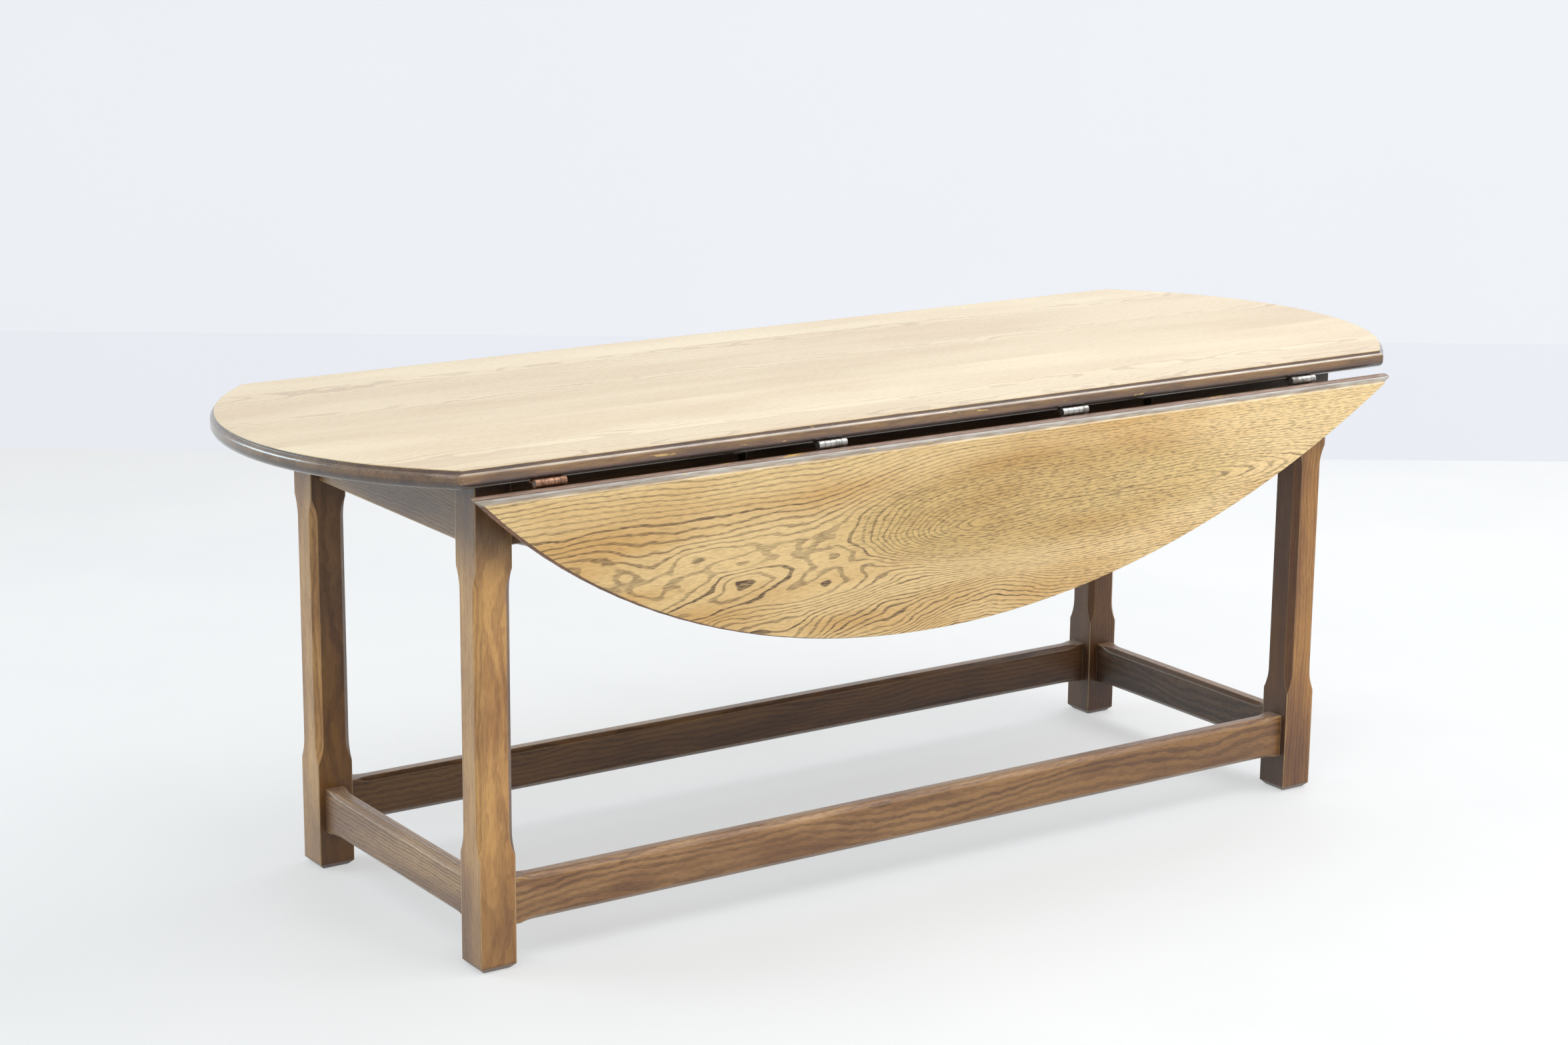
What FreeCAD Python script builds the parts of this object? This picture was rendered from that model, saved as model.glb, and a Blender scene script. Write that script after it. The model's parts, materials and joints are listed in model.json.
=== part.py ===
# Drop-leaf coffee table in oak: an oval top in three boards on a stretchered frame.
# Millimetres, +Z up, +X along the table, -Y towards the front leaf, origin on the floor at the centre.
# The fixed top board is carried by four legs, four aprons and four stretchers.
# Each leaf hangs on four steel hinges and is held up by two slotted folding stays.
import FreeCAD, Part
import Sketcher
import math
import os

Vector = FreeCAD.Vector
Rotation = FreeCAD.Rotation
Placement = FreeCAD.Placement

doc = FreeCAD.newDocument("drop_leaf_table")
sheet = doc.addObject("Spreadsheet::Sheet", "dims")
ALONG_X = Rotation(Vector(0, 1, 0), 90)
HALF_TURN = Placement(Vector(), Rotation(Vector(0, 0, 1), 180))
# The back is the front turned half way round, so a place along it changes sign
TABLE_SIDES = {"front": (Placement(), 1), "back": (HALF_TURN, -1)}


# Sizes that carry both a number and the sheet expression that gives it

class Size:
    def __init__(self, value, text):
        self.value = value
        self.text = text

    def join(self, sign, other, value):
        right = other.text if isinstance(other, Size) else repr(other)
        return Size(value, "(" + self.text + " " + sign + " " + right + ")")

    def __add__(self, other):
        return self.join("+", other, self.value + number(other))

    def __sub__(self, other):
        return self.join("-", other, self.value - number(other))

    def __mul__(self, other):
        return self.join("*", other, self.value * number(other))

    def __truediv__(self, other):
        return self.join("/", other, self.value / number(other))

    def __neg__(self):
        return Size(-self.value, "(-1 * " + self.text + ")")


def number(size):
    return size.value if isinstance(size, Size) else size


def root(size):
    return Size(math.sqrt(size.value), "sqrt(" + size.text + ")")


def dimension(alias, value):
    row = dimension.rows + 1
    dimension.rows = row
    sheet.set("A" + str(row), alias)
    sheet.set("B" + str(row), str(value))
    sheet.setAlias("B" + str(row), alias)
    return Size(value, "dims." + alias)


dimension.rows = 0
root_two = math.sqrt(2)

# Table top: one oval, cut into a fixed board and two leaves
table_height = dimension("table_height", 500.0)
top_thickness = dimension("top_thickness", 18.0)
oval_half_length = dimension("oval_half_length", 669.0)
oval_half_width = dimension("oval_half_width", 465.0)
end_radius = dimension("end_radius", 308.0)
board_half_width = dimension("board_half_width", 235.5)
leaf_gap = dimension("leaf_gap", 3.6)
leaf_fold_angle = dimension("leaf_fold_angle", 107.5)

# Moulded edge: a small step below the face, a quarter round, then a softened lower arris
step_depth = dimension("step_depth", 3.0)
ovolo_radius = dimension("ovolo_radius", 3.6)
step_ledge = dimension("step_ledge", 0.3)
lower_round = dimension("lower_round", 6.5)

# Legs: square blocks with stopped chamfers between them
leg_side = dimension("leg_side", 38.0)
end_overhang = dimension("end_overhang", 144.0)
side_overhang = dimension("side_overhang", 45.0)
leg_chamfer = dimension("leg_chamfer", 6.5)
leg_stop_length = dimension("leg_stop_length", 24.0)
upper_block_length = dimension("upper_block_length", 90.0)
lower_block_length = dimension("lower_block_length", 113.0)
foot_chamfer = dimension("foot_chamfer", 5.0)

# Aprons and stretchers, tenoned into the legs
apron_thickness = dimension("apron_thickness", 19.0)
apron_height = dimension("apron_height", 71.0)
apron_setback = dimension("apron_setback", 10.0)
apron_shoulder = dimension("apron_shoulder", 9.0)
stretcher_thickness = dimension("stretcher_thickness", 19.0)
stretcher_height = dimension("stretcher_height", 46.0)
stretcher_bottom = dimension("stretcher_bottom", 41.0)
stretcher_setback = dimension("stretcher_setback", 7.5)
stretcher_shoulder = dimension("stretcher_shoulder", 7.0)
stretcher_chamfer = dimension("stretcher_chamfer", 4.5)
stretcher_stop_length = dimension("stretcher_stop_length", 18.0)
stretcher_stop_inset = dimension("stretcher_stop_inset", 9.0)
tenon_thickness = dimension("tenon_thickness", 9.0)
tenon_length = dimension("tenon_length", 13.0)
joint_play = dimension("joint_play", 0.1)

# Corner blocks inside the aprons
block_reach = dimension("block_reach", 66.0)
block_height = dimension("block_height", 32.0)
block_leg_gap = dimension("block_leg_gap", 0.5)
block_nose = dimension("block_nose", 12.0)
block_screw_place = dimension("block_screw_place", 44.0)

# Hinges: two plates rolled round one pin
hinge_drop = dimension("hinge_drop", 1.5)
hinge_inner_place = dimension("hinge_inner_place", 148.5)
hinge_outer_place = dimension("hinge_outer_place", 458.0)
hinge_shift = dimension("hinge_shift", -15.0)
hinge_length = dimension("hinge_length", 32.5)
hinge_plate_width = dimension("hinge_plate_width", 34.0)
hinge_plate_thickness = dimension("hinge_plate_thickness", 2.0)
knuckle_radius = dimension("knuckle_radius", 4.0)
knuckle_gap = dimension("knuckle_gap", 0.4)
knuckle_relief = dimension("knuckle_relief", 0.6)
pin_radius = dimension("pin_radius", 2.0)
pin_play = dimension("pin_play", 0.05)

# Wood screws with countersunk heads
screw_shank_radius = dimension("screw_shank_radius", 1.7)
screw_head_radius = dimension("screw_head_radius", 3.5)
screw_length = dimension("screw_length", 14.0)
block_screw_length = dimension("block_screw_length", 42.0)
leg_screw_length = dimension("leg_screw_length", 52.0)
screw_tip = dimension("screw_tip", 3.0)
screw_edge = dimension("screw_edge", 8.0)

# Folding stays: a bracket under the board, a brace, and a slotted guide on the leaf
stay_place = dimension("stay_place", 250.0)
stay_pivot_inset = dimension("stay_pivot_inset", 24.0)
stay_pivot_drop = dimension("stay_pivot_drop", 45.0)
brace_length = dimension("brace_length", 90.0)
brace_width = dimension("brace_width", 13.0)
brace_thickness = dimension("brace_thickness", 2.5)
stay_plate_thickness = dimension("stay_plate_thickness", 2.0)
stay_flange_width = dimension("stay_flange_width", 18.0)
stay_side_gap = dimension("stay_side_gap", 0.4)
stay_pin_radius = dimension("stay_pin_radius", 2.5)
stay_head_radius = dimension("stay_head_radius", 4.2)
stay_head_thickness = dimension("stay_head_thickness", 1.2)
stud_offset = dimension("stud_offset", 7.0)
stud_play = dimension("stud_play", 0.3)
guide_wall = dimension("guide_wall", 5.0)
bracket_apron_gap = dimension("bracket_apron_gap", 15.5)
bracket_edge_gap = dimension("bracket_edge_gap", 9.0)

# One overrun for every cutting shape
cut_overrun = dimension("cut_overrun", 5.0)

doc.recompute()

# Worked-out places that several pieces share
underside = table_height - top_thickness
frame_half_length = oval_half_length - end_overhang
frame_half_width = board_half_width - side_overhang
mould_inset = ovolo_radius + step_ledge
hinge_y = board_half_width + leaf_gap / 2
hinge_z = underside - hinge_drop
axis_point = Vector(0, -hinge_y.value, hinge_z.value)
# A leaf swings past upright as it hangs, because its weight is outside its hinges
HANGING = Placement(Vector(), Rotation(Vector(1, 0, 0), leaf_fold_angle.value), axis_point)


# Part primitives bound to the sheet

def bind(item, path, size):
    item.setExpression(path, size.text)


zero = Size(0.0, "0")


def bind_placement(item, x, y, z):
    bind(item, ".Placement.Base.x", x)
    bind(item, ".Placement.Base.y", y)
    bind(item, ".Placement.Base.z", z)


def box(name, x0, y0, z0, length, width, height):
    item = doc.addObject("Part::Box", name)
    bind(item, "Length", length)
    bind(item, "Width", width)
    bind(item, "Height", height)
    bind_placement(item, x0, y0, z0)
    return item


def cylinder(name, radius, height, x0, y0, z0, turn=Rotation()):
    item = doc.addObject("Part::Cylinder", name)
    item.Placement = Placement(Vector(), turn)
    bind(item, "Radius", radius)
    bind(item, "Height", height)
    bind_placement(item, x0, y0, z0)
    return item


def fuse(name, pieces):
    item = doc.addObject("Part::MultiFuse", name)
    item.Shapes = pieces
    item.Refine = True
    return item


def group(name, pieces):
    item = doc.addObject("Part::Compound", name)
    item.Links = pieces
    return item


def cut(name, base, tool):
    item = doc.addObject("Part::Cut", name)
    item.Base = base
    item.Tool = tool
    return item


def common(name, base, tool):
    item = doc.addObject("Part::Common", name)
    item.Base = base
    item.Tool = tool
    return item


# Sketched features for the joinery

def origin_item(body, role):
    return [item for item in body.Origin.OriginFeatures if item.Role == role][0]


def pin_corner(sketch, direction, corner, size):
    place = sketch.addConstraint(Sketcher.Constraint(direction, -1, 1, corner, 1, number(size)))
    if isinstance(size, Size):
        sketch.setExpression("Constraints[" + str(place) + "]", size.text)


def bulged_arc(start, end, radius):
    """The short arc from start to end that bulges to the right of that direction."""
    chord = end - start
    half = chord.Length / 2
    side = Vector(chord.y, -chord.x, 0).normalize()
    rise = radius - math.sqrt(radius * radius - half * half)
    return Part.Arc(start, start + chord * 0.5 + side * rise, end)


def outline_sketch(body, name, role, corners, radii=None):
    """A closed outline whose corners are bound to the sheet; radii names the arcs by their first corner."""
    radii = radii or {}
    sketch = body.newObject("Sketcher::SketchObject", name)
    sketch.AttachmentSupport = (origin_item(body, role), "")
    sketch.MapMode = "FlatFace"
    points = [Vector(number(x), number(y), 0) for x, y in corners]
    count = len(points)
    for i, start in enumerate(points):
        end = points[(i + 1) % count]
        if i in radii:
            sketch.addGeometry(bulged_arc(start, end, radii[i].value))
        else:
            sketch.addGeometry(Part.LineSegment(start, end))
    for i, (x, y) in enumerate(corners):
        sketch.addConstraint(Sketcher.Constraint("Coincident", (i - 1) % count, 2, i, 1))
        pin_corner(sketch, "DistanceX", i, x)
        pin_corner(sketch, "DistanceY", i, y)
    for i, radius in radii.items():
        place = sketch.addConstraint(Sketcher.Constraint("Radius", i, radius.value))
        sketch.setExpression("Constraints[" + str(place) + "]", radius.text)
    return sketch


def rectangle(body, name, role, x0, y0, x1, y1):
    return outline_sketch(body, name, role, [(x0, y0), (x1, y0), (x1, y1), (x0, y1)])


def pad(body, name, sketch, length, centred):
    item = body.newObject("PartDesign::Pad", name)
    item.Profile = sketch
    item.Midplane = centred
    bind(item, "Length", length)
    return item


def stopped_chamfer(body, name, arris, along, outward, low, high, depth, stop):
    """A chamfer along one arris from low to high that runs out at each end in a curved stop."""
    radius = (stop * stop + depth * depth) / (depth * 2)
    corners = [(low, 0), (low + stop, -depth), (high - stop, -depth), (high, 0),
               (high, cut_overrun), (low, cut_overrun)]
    sketch = outline_sketch(body, name + "_sketch", "XY_Plane", corners, {0: radius, 2: radius})
    sketch.AttachmentOffset = Placement(Vector(), Rotation(along, outward, along.cross(outward), "ZXY"))
    for axis, size in zip("xyz", arris):
        sketch.setExpression(".AttachmentOffset.Base." + axis, size.text)
    item = body.newObject("PartDesign::Pocket", name)
    item.Profile = sketch
    item.Midplane = True
    bind(item, "Length", depth * 4)
    return item


# Countersunk wood screws: one turned shape, and a slightly larger one that cuts its hole

def screw_profile(name, length, play):
    """A screw pointing down from its flat head at the origin, as one revolved outline."""
    body = doc.addObject("PartDesign::Body", name)
    head = screw_head_radius + play
    shank = screw_shank_radius + play
    neck = -(head - shank)
    tip = -(length + play)
    corners = [(0, 0), (head, 0), (shank, neck), (shank, tip + screw_tip), (0, tip)]
    sketch = outline_sketch(body, name + "_sketch", "XZ_Plane", corners)
    turned = body.newObject("PartDesign::Revolution", name + "_turned")
    turned.Profile = sketch
    turned.ReferenceAxis = (sketch, ["V_Axis"])
    turned.Angle = 360
    return body


plate_screw = screw_profile("plate_screw", screw_length, zero)
plate_screw_hole = screw_profile("plate_screw_hole", screw_length, joint_play)
block_screw = screw_profile("block_screw", block_screw_length, zero)
block_screw_hole = screw_profile("block_screw_hole", block_screw_length, joint_play)
leg_screw = screw_profile("leg_screw", leg_screw_length, zero)
leg_screw_hole = screw_profile("leg_screw_hole", leg_screw_length, joint_play)
doc.recompute()


def copies(name, source, places):
    """A group of separate solids: the source's shape at each place."""
    item = doc.addObject("Part::Feature", name)
    shapes = []
    for place in places:
        shape = source.Shape.copy()
        shape.Placement = place
        shapes.append(shape)
    item.Shape = Part.makeCompound(shapes)
    return item


finished = []


def finish(item, label, place=None):
    item.Label = label
    if place is not None:
        item.Placement = place
    finished.append(item)


LEG_CORNERS = {"front_left": (-1, -1, 0), "front_right": (1, -1, 90),
               "back_right": (1, 1, 180), "back_left": (-1, 1, 270)}


# Legs: one pattern, turned a quarter for each corner

def leg_body(name):
    body = doc.addObject("PartDesign::Body", name)
    half = leg_side / 2
    section = rectangle(body, name + "_section", "XY_Plane", -half, -half, half, half)
    pad(body, name + "_pad", section, underside, False)
    outward = Vector(1, 1, 0).normalize()
    chamfer = stopped_chamfer(body, name + "_chamfer", (half, half, zero), Vector(0, 0, 1), outward,
                              lower_block_length, underside - upper_block_length, leg_chamfer / root_two,
                              leg_stop_length)
    pattern = body.newObject("PartDesign::PolarPattern", name + "_pattern")
    pattern.Originals = [chamfer]
    pattern.Axis = (origin_item(body, "Z_Axis"), [""])
    pattern.Angle = 360
    pattern.Occurrences = 4
    body.Tip = pattern
    doc.recompute()
    foot = body.newObject("PartDesign::Chamfer", name + "_foot")
    foot.Base = (pattern, flat_edges(pattern.Shape, 0))
    bind(foot, "Size", foot_chamfer)
    body.Tip = foot
    return body


def flat_edges(shape, height):
    """Names of the edges that lie level at one height."""
    names = []
    for i, edge in enumerate(shape.Edges):
        bounds = edge.BoundBox
        if abs(bounds.ZMin - height) < bounds.DiagonalLength / 1000 and bounds.ZLength < bounds.DiagonalLength / 1000:
            names.append("Edge" + str(i + 1))
    return names


def mortises(name, setback, thickness, low, high):
    """Two blind mortises in the inner faces, measured from the leg's outer corner at -X -Y."""
    half = leg_side / 2
    centre = setback + thickness / 2 - half
    width = tenon_thickness + joint_play * 2
    deep = tenon_length + joint_play + cut_overrun
    start = half - tenon_length - joint_play
    side = centre - width / 2
    tall = high - low + joint_play * 2
    one = box(name + "_x", start, side, low - joint_play, deep, width, tall)
    two = box(name + "_y", side, start, low - joint_play, width, deep, tall)
    return [one, two]


# Rails: a board with a shouldered tenon at each end, lying along X about its own centre

def rail_body(name, clear_length, thickness, height, shoulder):
    body = doc.addObject("PartDesign::Body", name)
    side = thickness / 2
    rise = height / 2
    board = rectangle(body, name + "_section", "YZ_Plane", -side, -rise, side, rise)
    pad(body, name + "_board", board, clear_length, True)
    cheek = tenon_thickness / 2
    tenon_rise = rise - shoulder
    tenon = rectangle(body, name + "_tenon_section", "YZ_Plane", -cheek, -tenon_rise, cheek, tenon_rise)
    pad(body, name + "_tenons", tenon, clear_length + tenon_length * 2, True)
    return body


def chamfer_rail(body, name, clear_length, thickness, height):
    """Stopped chamfers on all four long arrises: an upper and a lower one, mirrored across the rail."""
    reach = clear_length / 2 - stretcher_stop_inset
    cuts = []
    for side, sign in (("upper", 1), ("lower", -1)):
        outward = Vector(0, 1, sign).normalize()
        arris = (zero, thickness / 2, height / 2 * sign)
        cuts.append(stopped_chamfer(body, name + "_" + side, arris, Vector(1, 0, 0), outward,
                                    -reach, reach, stretcher_chamfer / root_two, stretcher_stop_length))
    across = body.newObject("PartDesign::Mirrored", name + "_across")
    across.Originals = cuts
    across.MirrorPlane = (origin_item(body, "XZ_Plane"), [""])
    body.Tip = across


long_clear = (frame_half_length - leg_side) * 2
short_clear = (frame_half_width - leg_side) * 2
apron_mid = underside - apron_height / 2
stretcher_mid = stretcher_bottom + stretcher_height / 2
RAIL_SIDES = {"front": (0, -1, 0), "back": (0, 1, 180), "left": (-1, 0, 270), "right": (1, 0, 90)}


def place_rail(item, label, side, setback, thickness, height):
    side_x, side_y, turn = RAIL_SIDES[side]
    inset = setback + thickness / 2
    finish(item, label, Placement(Vector(), Rotation(Vector(0, 0, 1), turn)))
    bind_placement(item, (frame_half_length - inset) * side_x, (frame_half_width - inset) * side_y, height)


for side in RAIL_SIDES:
    span = long_clear if side in ("front", "back") else short_clear
    apron = rail_body("apron_" + side + "_body", span, apron_thickness, apron_height, apron_shoulder)
    place_rail(apron, "apron_" + side, side, apron_setback, apron_thickness, apron_mid)
    stretcher = rail_body("stretcher_" + side + "_body", span, stretcher_thickness, stretcher_height,
                          stretcher_shoulder)
    chamfer_rail(stretcher, "stretcher_" + side, span, stretcher_thickness, stretcher_height)
    place_rail(stretcher, "stretcher_" + side, side, stretcher_setback, stretcher_thickness, stretcher_mid)


# Oval slab with its moulded edge, shared by the board and both leaves
# The outline is four arcs that meet smoothly: a tight one at each end and a flat one along each leaf
end_centre = oval_half_length - end_radius
side_radius = (end_centre * end_centre + oval_half_width * oval_half_width - end_radius * end_radius) / (
    (oval_half_width - end_radius) * 2)
meeting_x = end_centre / (side_radius - end_radius)
meeting_y = (side_radius - oval_half_width) / (side_radius - end_radius)


def oval_sketch(body, name, inset, level):
    end = end_radius - inset
    side = side_radius - inset
    x = end_centre + end * meeting_x
    y = end * meeting_y
    sketch = outline_sketch(body, name, "XY_Plane", [(x, -y), (x, y), (-x, y), (-x, -y)],
                            {0: end, 1: side, 2: end, 3: side})
    bind(sketch, ".AttachmentOffset.Base.z", level)
    return sketch


def rounded(body, name, feature, level, radius):
    doc.recompute()
    item = body.newObject("PartDesign::Fillet", name)
    item.Base = (feature, flat_edges(feature.Shape, level.value))
    bind(item, "Radius", radius)
    body.Tip = item
    return item


oval_slab = doc.addObject("PartDesign::Body", "oval_slab")
belt = pad(oval_slab, "belt", oval_sketch(oval_slab, "belt_outline", zero, underside),
           top_thickness - step_depth, False)
ovolo = rounded(oval_slab, "ovolo", belt, table_height - step_depth, ovolo_radius)
soft_arris = rounded(oval_slab, "soft_arris", ovolo, underside, lower_round)
face = pad(oval_slab, "face", oval_sketch(oval_slab, "face_outline", mould_inset, table_height - step_depth),
           step_depth, False)


def moulded_strip(name, inner, outer):
    """A strip along the table between two values of Y, with the moulding on its inner and outer edges."""
    length = oval_half_length * 2 + cut_overrun * 2
    start = -(oval_half_length + cut_overrun)
    shoulder = table_height - step_depth
    upper = shoulder - ovolo_radius
    lower = underside + lower_round
    pieces = []
    for level, inset, low, high in (("sole", lower_round, underside, lower),
                                    ("belt", zero, lower, upper),
                                    ("round", ovolo_radius, upper, shoulder),
                                    ("face", mould_inset, upper, table_height)):
        y0 = inner + inset
        pieces.append(box(name + "_" + level, start, y0, low, length, outer - inset - y0, high - low))
    for level, radius, centre in (("ovolo", ovolo_radius, upper), ("arris", lower_round, lower)):
        for side, y in (("inner", inner + radius), ("outer", outer - radius)):
            pieces.append(cylinder(name + "_" + side + "_" + level, radius, length, start, y, centre, ALONG_X))
    return fuse(name, pieces)


leaf_edge = board_half_width + leaf_gap
leaf_far = oval_half_width + mould_inset * 2
board_strip = moulded_strip("board_strip", -board_half_width, board_half_width)
leaf_strip = moulded_strip("leaf_strip", -leaf_far, -leaf_edge)


# Where everything screws in, for the front of the table and in the leaf's raised position

UPWARD = Rotation(Vector(1, 0, 0), 180)


def hinge_screw_spots(centre, side):
    """Three screws in a plate: one near the knuckles, two at the far edge; side is the way the plate runs."""
    near = knuckle_radius + knuckle_relief + screw_edge
    far = hinge_plate_width - screw_edge
    reach = hinge_length / 2 - screw_edge
    level = underside - hinge_plate_thickness
    spots = []
    for dx, dy in ((0, near.value), (reach.value, far.value), (-reach.value, far.value)):
        spots.append(Placement(Vector(centre.value + dx, -hinge_y.value + side * dy, level.value), UPWARD))
    return spots


HINGE_PLACES = [hinge_shift - hinge_outer_place, hinge_shift - hinge_inner_place,
                hinge_shift + hinge_inner_place, hinge_shift + hinge_outer_place]
STAY_PLACES = {"left": -stay_place, "right": stay_place}
stay_pivot_y = -(hinge_y - stay_pivot_inset)
stay_pivot_z = hinge_z - stay_pivot_drop
bracket_y = -(board_half_width - bracket_edge_gap)
bracket_reach = -(frame_half_width - apron_setback + bracket_apron_gap) - bracket_y
brace_x = stay_plate_thickness + stay_side_gap
rivet_tail_room = pin_play + stay_head_thickness + stay_side_gap
guide_x = brace_x + brace_thickness + rivet_tail_room


# Motion of the stay: the stud's path on the raised leaf, as distance out from the hinge and down from the wood

PATH_STEPS = 12
leaf_turn = math.radians(leaf_fold_angle.value)
leaf_lean = leaf_turn - math.pi / 2


def stay_angles():
    """The brace's angle from upright, with the leaf hanging and with it raised."""
    off_leaf = (stay_pivot_inset.value * math.cos(leaf_lean) - stay_pivot_drop.value * math.sin(leaf_lean)
                + (hinge_drop - stud_offset).value)
    first = math.asin(off_leaf / brace_length.value) - leaf_lean
    last = math.acos((stud_offset - hinge_drop - stay_pivot_drop).value / brace_length.value)
    return first, last


def stud_point(share):
    first, last = stay_angles()
    leaf = leaf_turn * share - leaf_lean
    brace = first + (last - first) * share
    across = stay_pivot_inset.value - brace_length.value * math.sin(brace)
    down = stay_pivot_drop.value + brace_length.value * math.cos(brace)
    out = down * math.cos(leaf) - across * math.sin(leaf)
    below = across * math.cos(leaf) + down * math.sin(leaf) + hinge_drop.value
    return Vector(out, below, 0)


def stud_normal(share):
    """Unit vector square to the path, on the side away from the leaf."""
    step_share = 1 / 200
    step = stud_point(min(1, share + step_share)) - stud_point(max(0, share - step_share))
    return Vector(step.y, -step.x, 0).normalize()


def guide_side(distance):
    """Curve that keeps one distance from the stud's path."""
    points = []
    for i in range(PATH_STEPS + 1):
        share = i / PATH_STEPS
        points.append(stud_point(share) + stud_normal(share) * distance)
    curve = Part.BSplineCurve()
    curve.interpolate(points)
    return curve.toShape()


def turned_quarter(vector):
    return Vector(vector.y, -vector.x, 0)


def guide_slot():
    half = (stay_pin_radius + stud_play).value
    upper = guide_side(half)
    lower = guide_side(-half)
    edges = [upper, lower]
    for share, way in ((0, 1), (1, -1)):
        centre = stud_point(share)
        normal = stud_normal(share)
        along = turned_quarter(normal) * way
        arc = Part.Arc(centre + normal * half, centre + along * half, centre - normal * half)
        edges.append(arc.toShape())
    return Part.Face(Part.Wire(Part.__sortEdges__(edges)))


def guide_outline():
    half = (stay_pin_radius + stud_play + guide_wall).value
    edges = [guide_side(half)]
    feet = []
    for share, way in ((0, 1), (1, -1)):
        centre = stud_point(share)
        normal = stud_normal(share)
        side = Vector(way * half, 0, 0)
        middle = (normal * half + side).normalize() * half
        edges.append(Part.Arc(centre + normal * half, centre + middle, centre + side).toShape())
        foot = Vector(centre.x + side.x, 0, 0)
        edges.append(Part.LineSegment(centre + side, foot).toShape())
        feet.append(foot)
    edges.append(Part.LineSegment(feet[0], feet[1]).toShape())
    return Part.Face(Part.Wire(Part.__sortEdges__(edges)))


guide_margin = stay_pin_radius + stud_play + guide_wall
guide_outer_end = stud_point(0).x + guide_margin.value
guide_inner_end = stud_point(1).x - guide_margin.value
ON_LEAF = Placement(Vector(), Rotation(Vector(0, -1, 0), Vector(0, 0, -1), Vector(1, 0, 0), "ZXY"))


def guide_screw_spots(centre):
    spots = []
    level = underside - stay_plate_thickness
    x = centre + guide_x + stay_plate_thickness + screw_edge
    for out in (guide_outer_end - screw_edge.value, guide_inner_end + screw_edge.value):
        spots.append(Placement(Vector(x.value, -hinge_y.value - out, level.value), UPWARD))
    return spots


def bracket_screw_spots(centre):
    spots = []
    level = underside - stay_plate_thickness
    x = centre - screw_edge
    for y in (bracket_y + screw_edge, bracket_y + bracket_reach - screw_edge):
        spots.append(Placement(Vector(x.value, y.value, level.value), UPWARD))
    return spots


def block_corner(side_x, side_y):
    """Inner corner of the aprons at one leg."""
    inset = apron_setback + apron_thickness
    return Vector(side_x * (frame_half_length - inset).value, side_y * (frame_half_width - inset).value, 0)


def block_screw_spots(side_x, side_y):
    """Two screws up through one corner block into the board."""
    corner = block_corner(side_x, side_y)
    level = (underside - block_height).value
    near = block_nose.value
    far = block_screw_place.value
    spots = []
    for dx, dy in ((far, near), (near, far)):
        spots.append(Placement(corner + Vector(-side_x * dx, -side_y * dy, level), UPWARD))
    return spots


def leg_screw_spot(side_x, side_y):
    """One screw square to the block's long face, through it into the leg's inner corner."""
    corner = block_corner(side_x, side_y)
    middle = (block_reach + block_nose).value / 2
    level = (underside - block_height / 2).value
    inward = Vector(side_x, side_y, 0).normalize()
    point = corner + Vector(-side_x * middle, -side_y * middle, level)
    return Placement(point, Rotation(Vector(0, 0, -1), inward))


top_hinge_spots = []
leaf_hinge_spots = []
for centre in HINGE_PLACES:
    top_hinge_spots += hinge_screw_spots(centre, 1)
    leaf_hinge_spots += hinge_screw_spots(centre, -1)
bracket_spots = []
guide_spots = []
for centre in STAY_PLACES.values():
    bracket_spots += bracket_screw_spots(centre)
    guide_spots += guide_screw_spots(centre)
block_spots = []
leg_spots = []
for side_x, side_y, quarter in LEG_CORNERS.values():
    block_spots += block_screw_spots(side_x, side_y)
    leg_spots.append(leg_screw_spot(side_x, side_y))


def both_sides(spots):
    return spots + [HALF_TURN * spot for spot in spots]


# Legs, each turned so that its outer corner faces out
apron_low = underside - apron_height
stretcher_top = stretcher_bottom + stretcher_height
leg_x = frame_half_length - leg_side / 2
leg_y = frame_half_width - leg_side / 2
for corner_name, (side_x, side_y, quarter) in LEG_CORNERS.items():
    name = "leg_" + corner_name
    place = Placement(Vector(side_x * leg_x.value, side_y * leg_y.value, 0), Rotation(Vector(0, 0, 1), quarter))
    sockets = mortises(name + "_apron", apron_setback, apron_thickness,
                       apron_low + apron_shoulder, underside - apron_shoulder)
    sockets += mortises(name + "_stretcher", stretcher_setback, stretcher_thickness,
                        stretcher_bottom + stretcher_shoulder, stretcher_top - stretcher_shoulder)
    sockets.append(copies(name + "_screw_hole", leg_screw_hole, [place.inverse() * leg_screw_spot(side_x, side_y)]))
    leg = cut(name, leg_body(name + "_body"), fuse(name + "_sockets", sockets))
    finish(leg, name, place)
    bind(leg, ".Placement.Base.x", leg_x * side_x)
    bind(leg, ".Placement.Base.y", leg_y * side_y)


# Board and leaves
board_blank = common("board_blank", oval_slab, board_strip)
board_holes = copies("board_holes", plate_screw_hole, both_sides(top_hinge_spots + bracket_spots))
board_block_holes = copies("board_block_holes", block_screw_hole, block_spots)
board = cut("top_board", board_blank, group("board_all_holes", [board_holes, board_block_holes]))
finish(board, "top_board")
leaf_holes = copies("leaf_holes", plate_screw_hole, leaf_hinge_spots + guide_spots)
for side, (turn, way) in TABLE_SIDES.items():
    blank = common("leaf_blank_" + side, oval_slab, leaf_strip)
    finish(cut("leaf_" + side, blank, leaf_holes), "leaf_" + side, turn * HANGING)


# Corner blocks, notched round the legs

def block_body(name):
    body = doc.addObject("PartDesign::Body", name)
    notch = leg_side - apron_setback - apron_thickness + block_leg_gap
    corners = [(notch, 0), (block_reach, 0), (block_reach, block_nose), (block_nose, block_reach),
               (0, block_reach), (0, notch), (notch, notch)]
    pad(body, name + "_pad", outline_sketch(body, name + "_outline", "XY_Plane", corners), block_height, False)
    return body


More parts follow.
